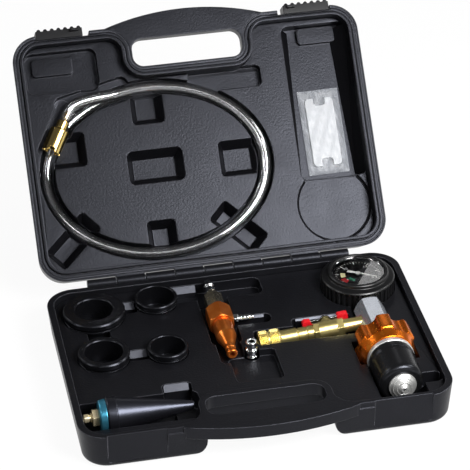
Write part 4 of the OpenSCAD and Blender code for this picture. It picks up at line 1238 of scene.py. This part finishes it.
@dataclass
class PlateBag(SubAssembly):
    """A small film bag in the lid, with the hanger plate in it."""

    eased: Eased = ((PLATE, 0.4, ("hanger_plate",)),)
    middle: Point = (134.0, 0.0, 66.6)
    size: Span = (43.0, 89.0)
    thick: float = 4.4
    seam: float = 0.12
    slack: float = 0.6
    turn_deg: float = -0.5
    cells: tuple[int, int] = (26, 52)
    pinch: tuple[int, int] = (6, 12)
    # Height, turn across, turn along and shift of each wave.
    creases: tuple[tuple[float, float, float, float], ...] = (
        (0.25, 0.55, 0.21, 1.0),
        (0.18, 0.9, -0.33, 0.0),
    )

    def detail(self) -> None:
        """Makes the film as a flat pillow with creases."""
        bm = bmesh.new()
        bmesh.ops.create_grid(bm, x_segments=self.cells[0], y_segments=self.cells[1], size=0.5)
        grown = bmesh.ops.extrude_face_region(bm, geom=bm.faces[:])
        top = {v for v in grown["geom"] if isinstance(v, BMVert)}
        for vert in bm.verts:
            x, y = vert.co.x * self.size[0], vert.co.y * self.size[1]
            side = 1.0 if vert in top else -1.0
            vert.co = Vector((x, y, side * self.puff(x, y, side))) * MM
        bmesh.ops.recalc_face_normals(bm, faces=bm.faces[:])
        turn = Matrix.Rotation(math.radians(self.turn_deg), 4, "Z")
        bm.transform(self.pose.matrix() @ Matrix.Translation(Vector(self.middle) * MM) @ turn)
        self.kit.add("film_bag", bm, self.kit.body("bag"), FILM, "bag")

    def puff(self, x: float, y: float, side: float) -> float:
        """Gives half the bag's thickness at a place: full over the plate, flat at the seams, creased.

        Args:
            x: Place across the bag.
            y: Place along the bag.
            side: 1 for the upper skin and -1 for the lower one.

        Returns:
            Half thickness in millimetres.
        """
        across = max(0.0, 1 - abs(2 * x / self.size[0]) ** self.pinch[0])
        down = max(0.0, 1 - abs(2 * y / self.size[1]) ** self.pinch[1])
        crease = sum(high * math.sin(a * x + b * y + shift * side) for high, a, b, shift in self.creases)
        return self.seam + (self.thick / 2 - self.slack + crease) * across * down


@dataclass
class Studio:
    """Camera, soft light and floor. Places, lamps and the floor are in metres."""

    place: Point = (-0.39274, -2.01253, 1.45340)
    heading_deg: float = 10.822
    elevation_deg: float = 32.278
    roll_deg: float = -1.072
    lens_mm: float = 196.51
    sensor_mm: float = 36.0
    aim: Point = (0.0, 0.12, 0.12)
    fill: float = 0.3
    horizon: float = 0.24
    zenith: float = 0.07
    sky_range: Span = (0.1, 0.7)
    # Name, place, width and height, and power in watts.
    lamps: tuple[tuple[str, Point, Span, float], ...] = (
        ("near_softbox", (0.47, -0.7, 0.86), (0.52, 0.52), 24.0),
        ("front_strip", (0.1, -1.45, 1.65), (1.9, 0.24), 7.0),
        ("left_softbox", (-1.7, -0.4, 1.3), (0.5, 0.5), 6.0),
        ("right_softbox", (1.5, 0.1, 1.2), (0.5, 0.5), 8.0),
        ("back_card", (0.5, 1.7, 1.25), (0.35, 0.35), 0.45),
        ("back_left_softbox", (-1.3, 0.9, 1.1), (0.4, 0.4), 5.0),
    )
    floor_half: float = 6.0
    floor_z: float = -0.0004
    floor_colour: str = "#f2f2f2"
    floor_roughness: float = 0.9
    floor_white: float = 0.93

    def camera(self) -> None:
        """Sets the camera where the photograph was taken from."""
        angles = (self.heading_deg, self.elevation_deg, self.roll_deg)
        heading, lift, roll = (math.radians(angle) for angle in angles)
        flat = math.cos(lift)
        ahead = Vector((math.sin(heading) * flat, math.cos(heading) * flat, -math.sin(lift)))
        level = Vector((math.cos(heading), -math.sin(heading), 0.0))
        upright = level.cross(ahead)
        right = level * math.cos(roll) + upright * math.sin(roll)
        up = upright * math.cos(roll) - level * math.sin(roll)
        data = bpy.data.cameras.new("photo_camera")
        data.lens = self.lens_mm
        data.sensor_width = self.sensor_mm
        camera = bpy.data.objects.new("photo_camera", data)
        turn = Matrix((right, up, -ahead)).transposed().to_4x4()
        camera.matrix_world = Matrix.Translation(self.place) @ turn
        bpy.context.scene.collection.objects.link(camera)
        bpy.context.scene.camera = camera

    def light(self) -> None:
        """Hangs the softboxes and sets the world."""
        for name, place, (width, height), power in self.lamps:
            lamp = bpy.data.lights.new(name, "AREA")
            lamp.shape = "RECTANGLE"
            lamp.size = width
            lamp.size_y = height
            lamp.energy = power
            holder = bpy.data.objects.new(name, lamp)
            holder.location = place
            holder.rotation_euler = (Vector(self.aim) - Vector(place)).to_track_quat("-Z", "Y").to_euler()
            bpy.context.scene.collection.objects.link(holder)
        world = bpy.data.worlds.new("studio_world")
        world.use_nodes = True
        bpy.context.scene.world = world
        bench = NodeBench(world.node_tree, world.node_tree.nodes["Background"])
        way = bench.add("TexCoord").outputs["Generated"]
        rise = bench.add("SeparateXYZ", {"Vector": way}).outputs["Z"]
        low, high = self.sky_range
        limits = {"From Min": low, "From Max": high, "To Min": self.horizon, "To Max": self.zenith}
        room = bench.add("MapRange", {"Value": rise, **limits}).outputs["Result"]
        levels = {MIX_SHARE: self.seen_rays(bench), MIX_LOW: self.fill, MIX_HIGH: room}
        lit = bench.add("Mix", levels).outputs[MIX_OUT]
        seen = bench.add("LightPath").outputs["Is Camera Ray"]
        shown = bench.add("Mix", {MIX_SHARE: seen, MIX_LOW: lit, MIX_HIGH: 1.0}).outputs[MIX_OUT]
        bench.feed({"Color": linear("#ffffff"), "Strength": shown})

    def seen_rays(self, bench: NodeBench) -> Socket:
        """Tells the rays that see the background from those that light the object.

        Args:
            bench: Nodes that ask.

        Returns:
            A socket that is 1 for camera, glossy and transmission rays.
        """
        rays = bench.add("LightPath").outputs
        share = rays["Is Camera Ray"]
        for kind in ("Is Glossy Ray", "Is Transmission Ray"):
            share = bench.add("Math", {0: share, 1: rays[kind]}, operation="MAXIMUM").outputs[0]
        return share

    def floor(self) -> None:
        """Lays the pale floor just under the case, where it keeps the object's shadow."""
        bm = bmesh.new()
        below = Matrix.Translation((0.0, 0.0, self.floor_z))
        bmesh.ops.create_grid(bm, x_segments=1, y_segments=1, size=self.floor_half, matrix=below)
        floor = bpy.data.objects.new("studio_floor", mesh_from(bm, "studio_floor"))
        bpy.context.scene.collection.objects.link(floor)
        material = bpy.data.materials.new("White studio floor")
        material.use_nodes = True
        paper = material.node_tree.nodes["Principled BSDF"]
        bench = NodeBench(material.node_tree, paper)
        bench.feed({"Base Color": linear(self.floor_colour), "Roughness": self.floor_roughness})
        glow = bench.add("Emission", {"Color": linear("#ffffff"), "Strength": 1.0})
        portion = {0: self.seen_rays(bench), 1: self.floor_white}
        share = bench.add("Math", portion, operation="MULTIPLY")
        layers = {0: share.outputs[0], 1: paper.outputs[0], 2: glow.outputs[0]}
        mix = bench.add("MixShader", layers)
        bench.feed({"Surface": mix.outputs[0]}, bench.tree.nodes["Material Output"])
        floor.data.materials.append(material)


def main() -> None:
    """Builds every sub-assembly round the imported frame."""
    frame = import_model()
    bpy.context.scene.view_settings.view_transform = "Standard"
    kit = PackedKit(frame)
    studio = Studio()
    studio.camera()
    for group in (HoseCoil, CarryCase, FillerHead, VacuumGauge, ValveArm, Venturi, NeckAdaptors, PlateBag):
        group(kit).build()
    studio.light()
    studio.floor()


if __name__ == "__main__":
    logging.basicConfig(level=logging.INFO)
    main()
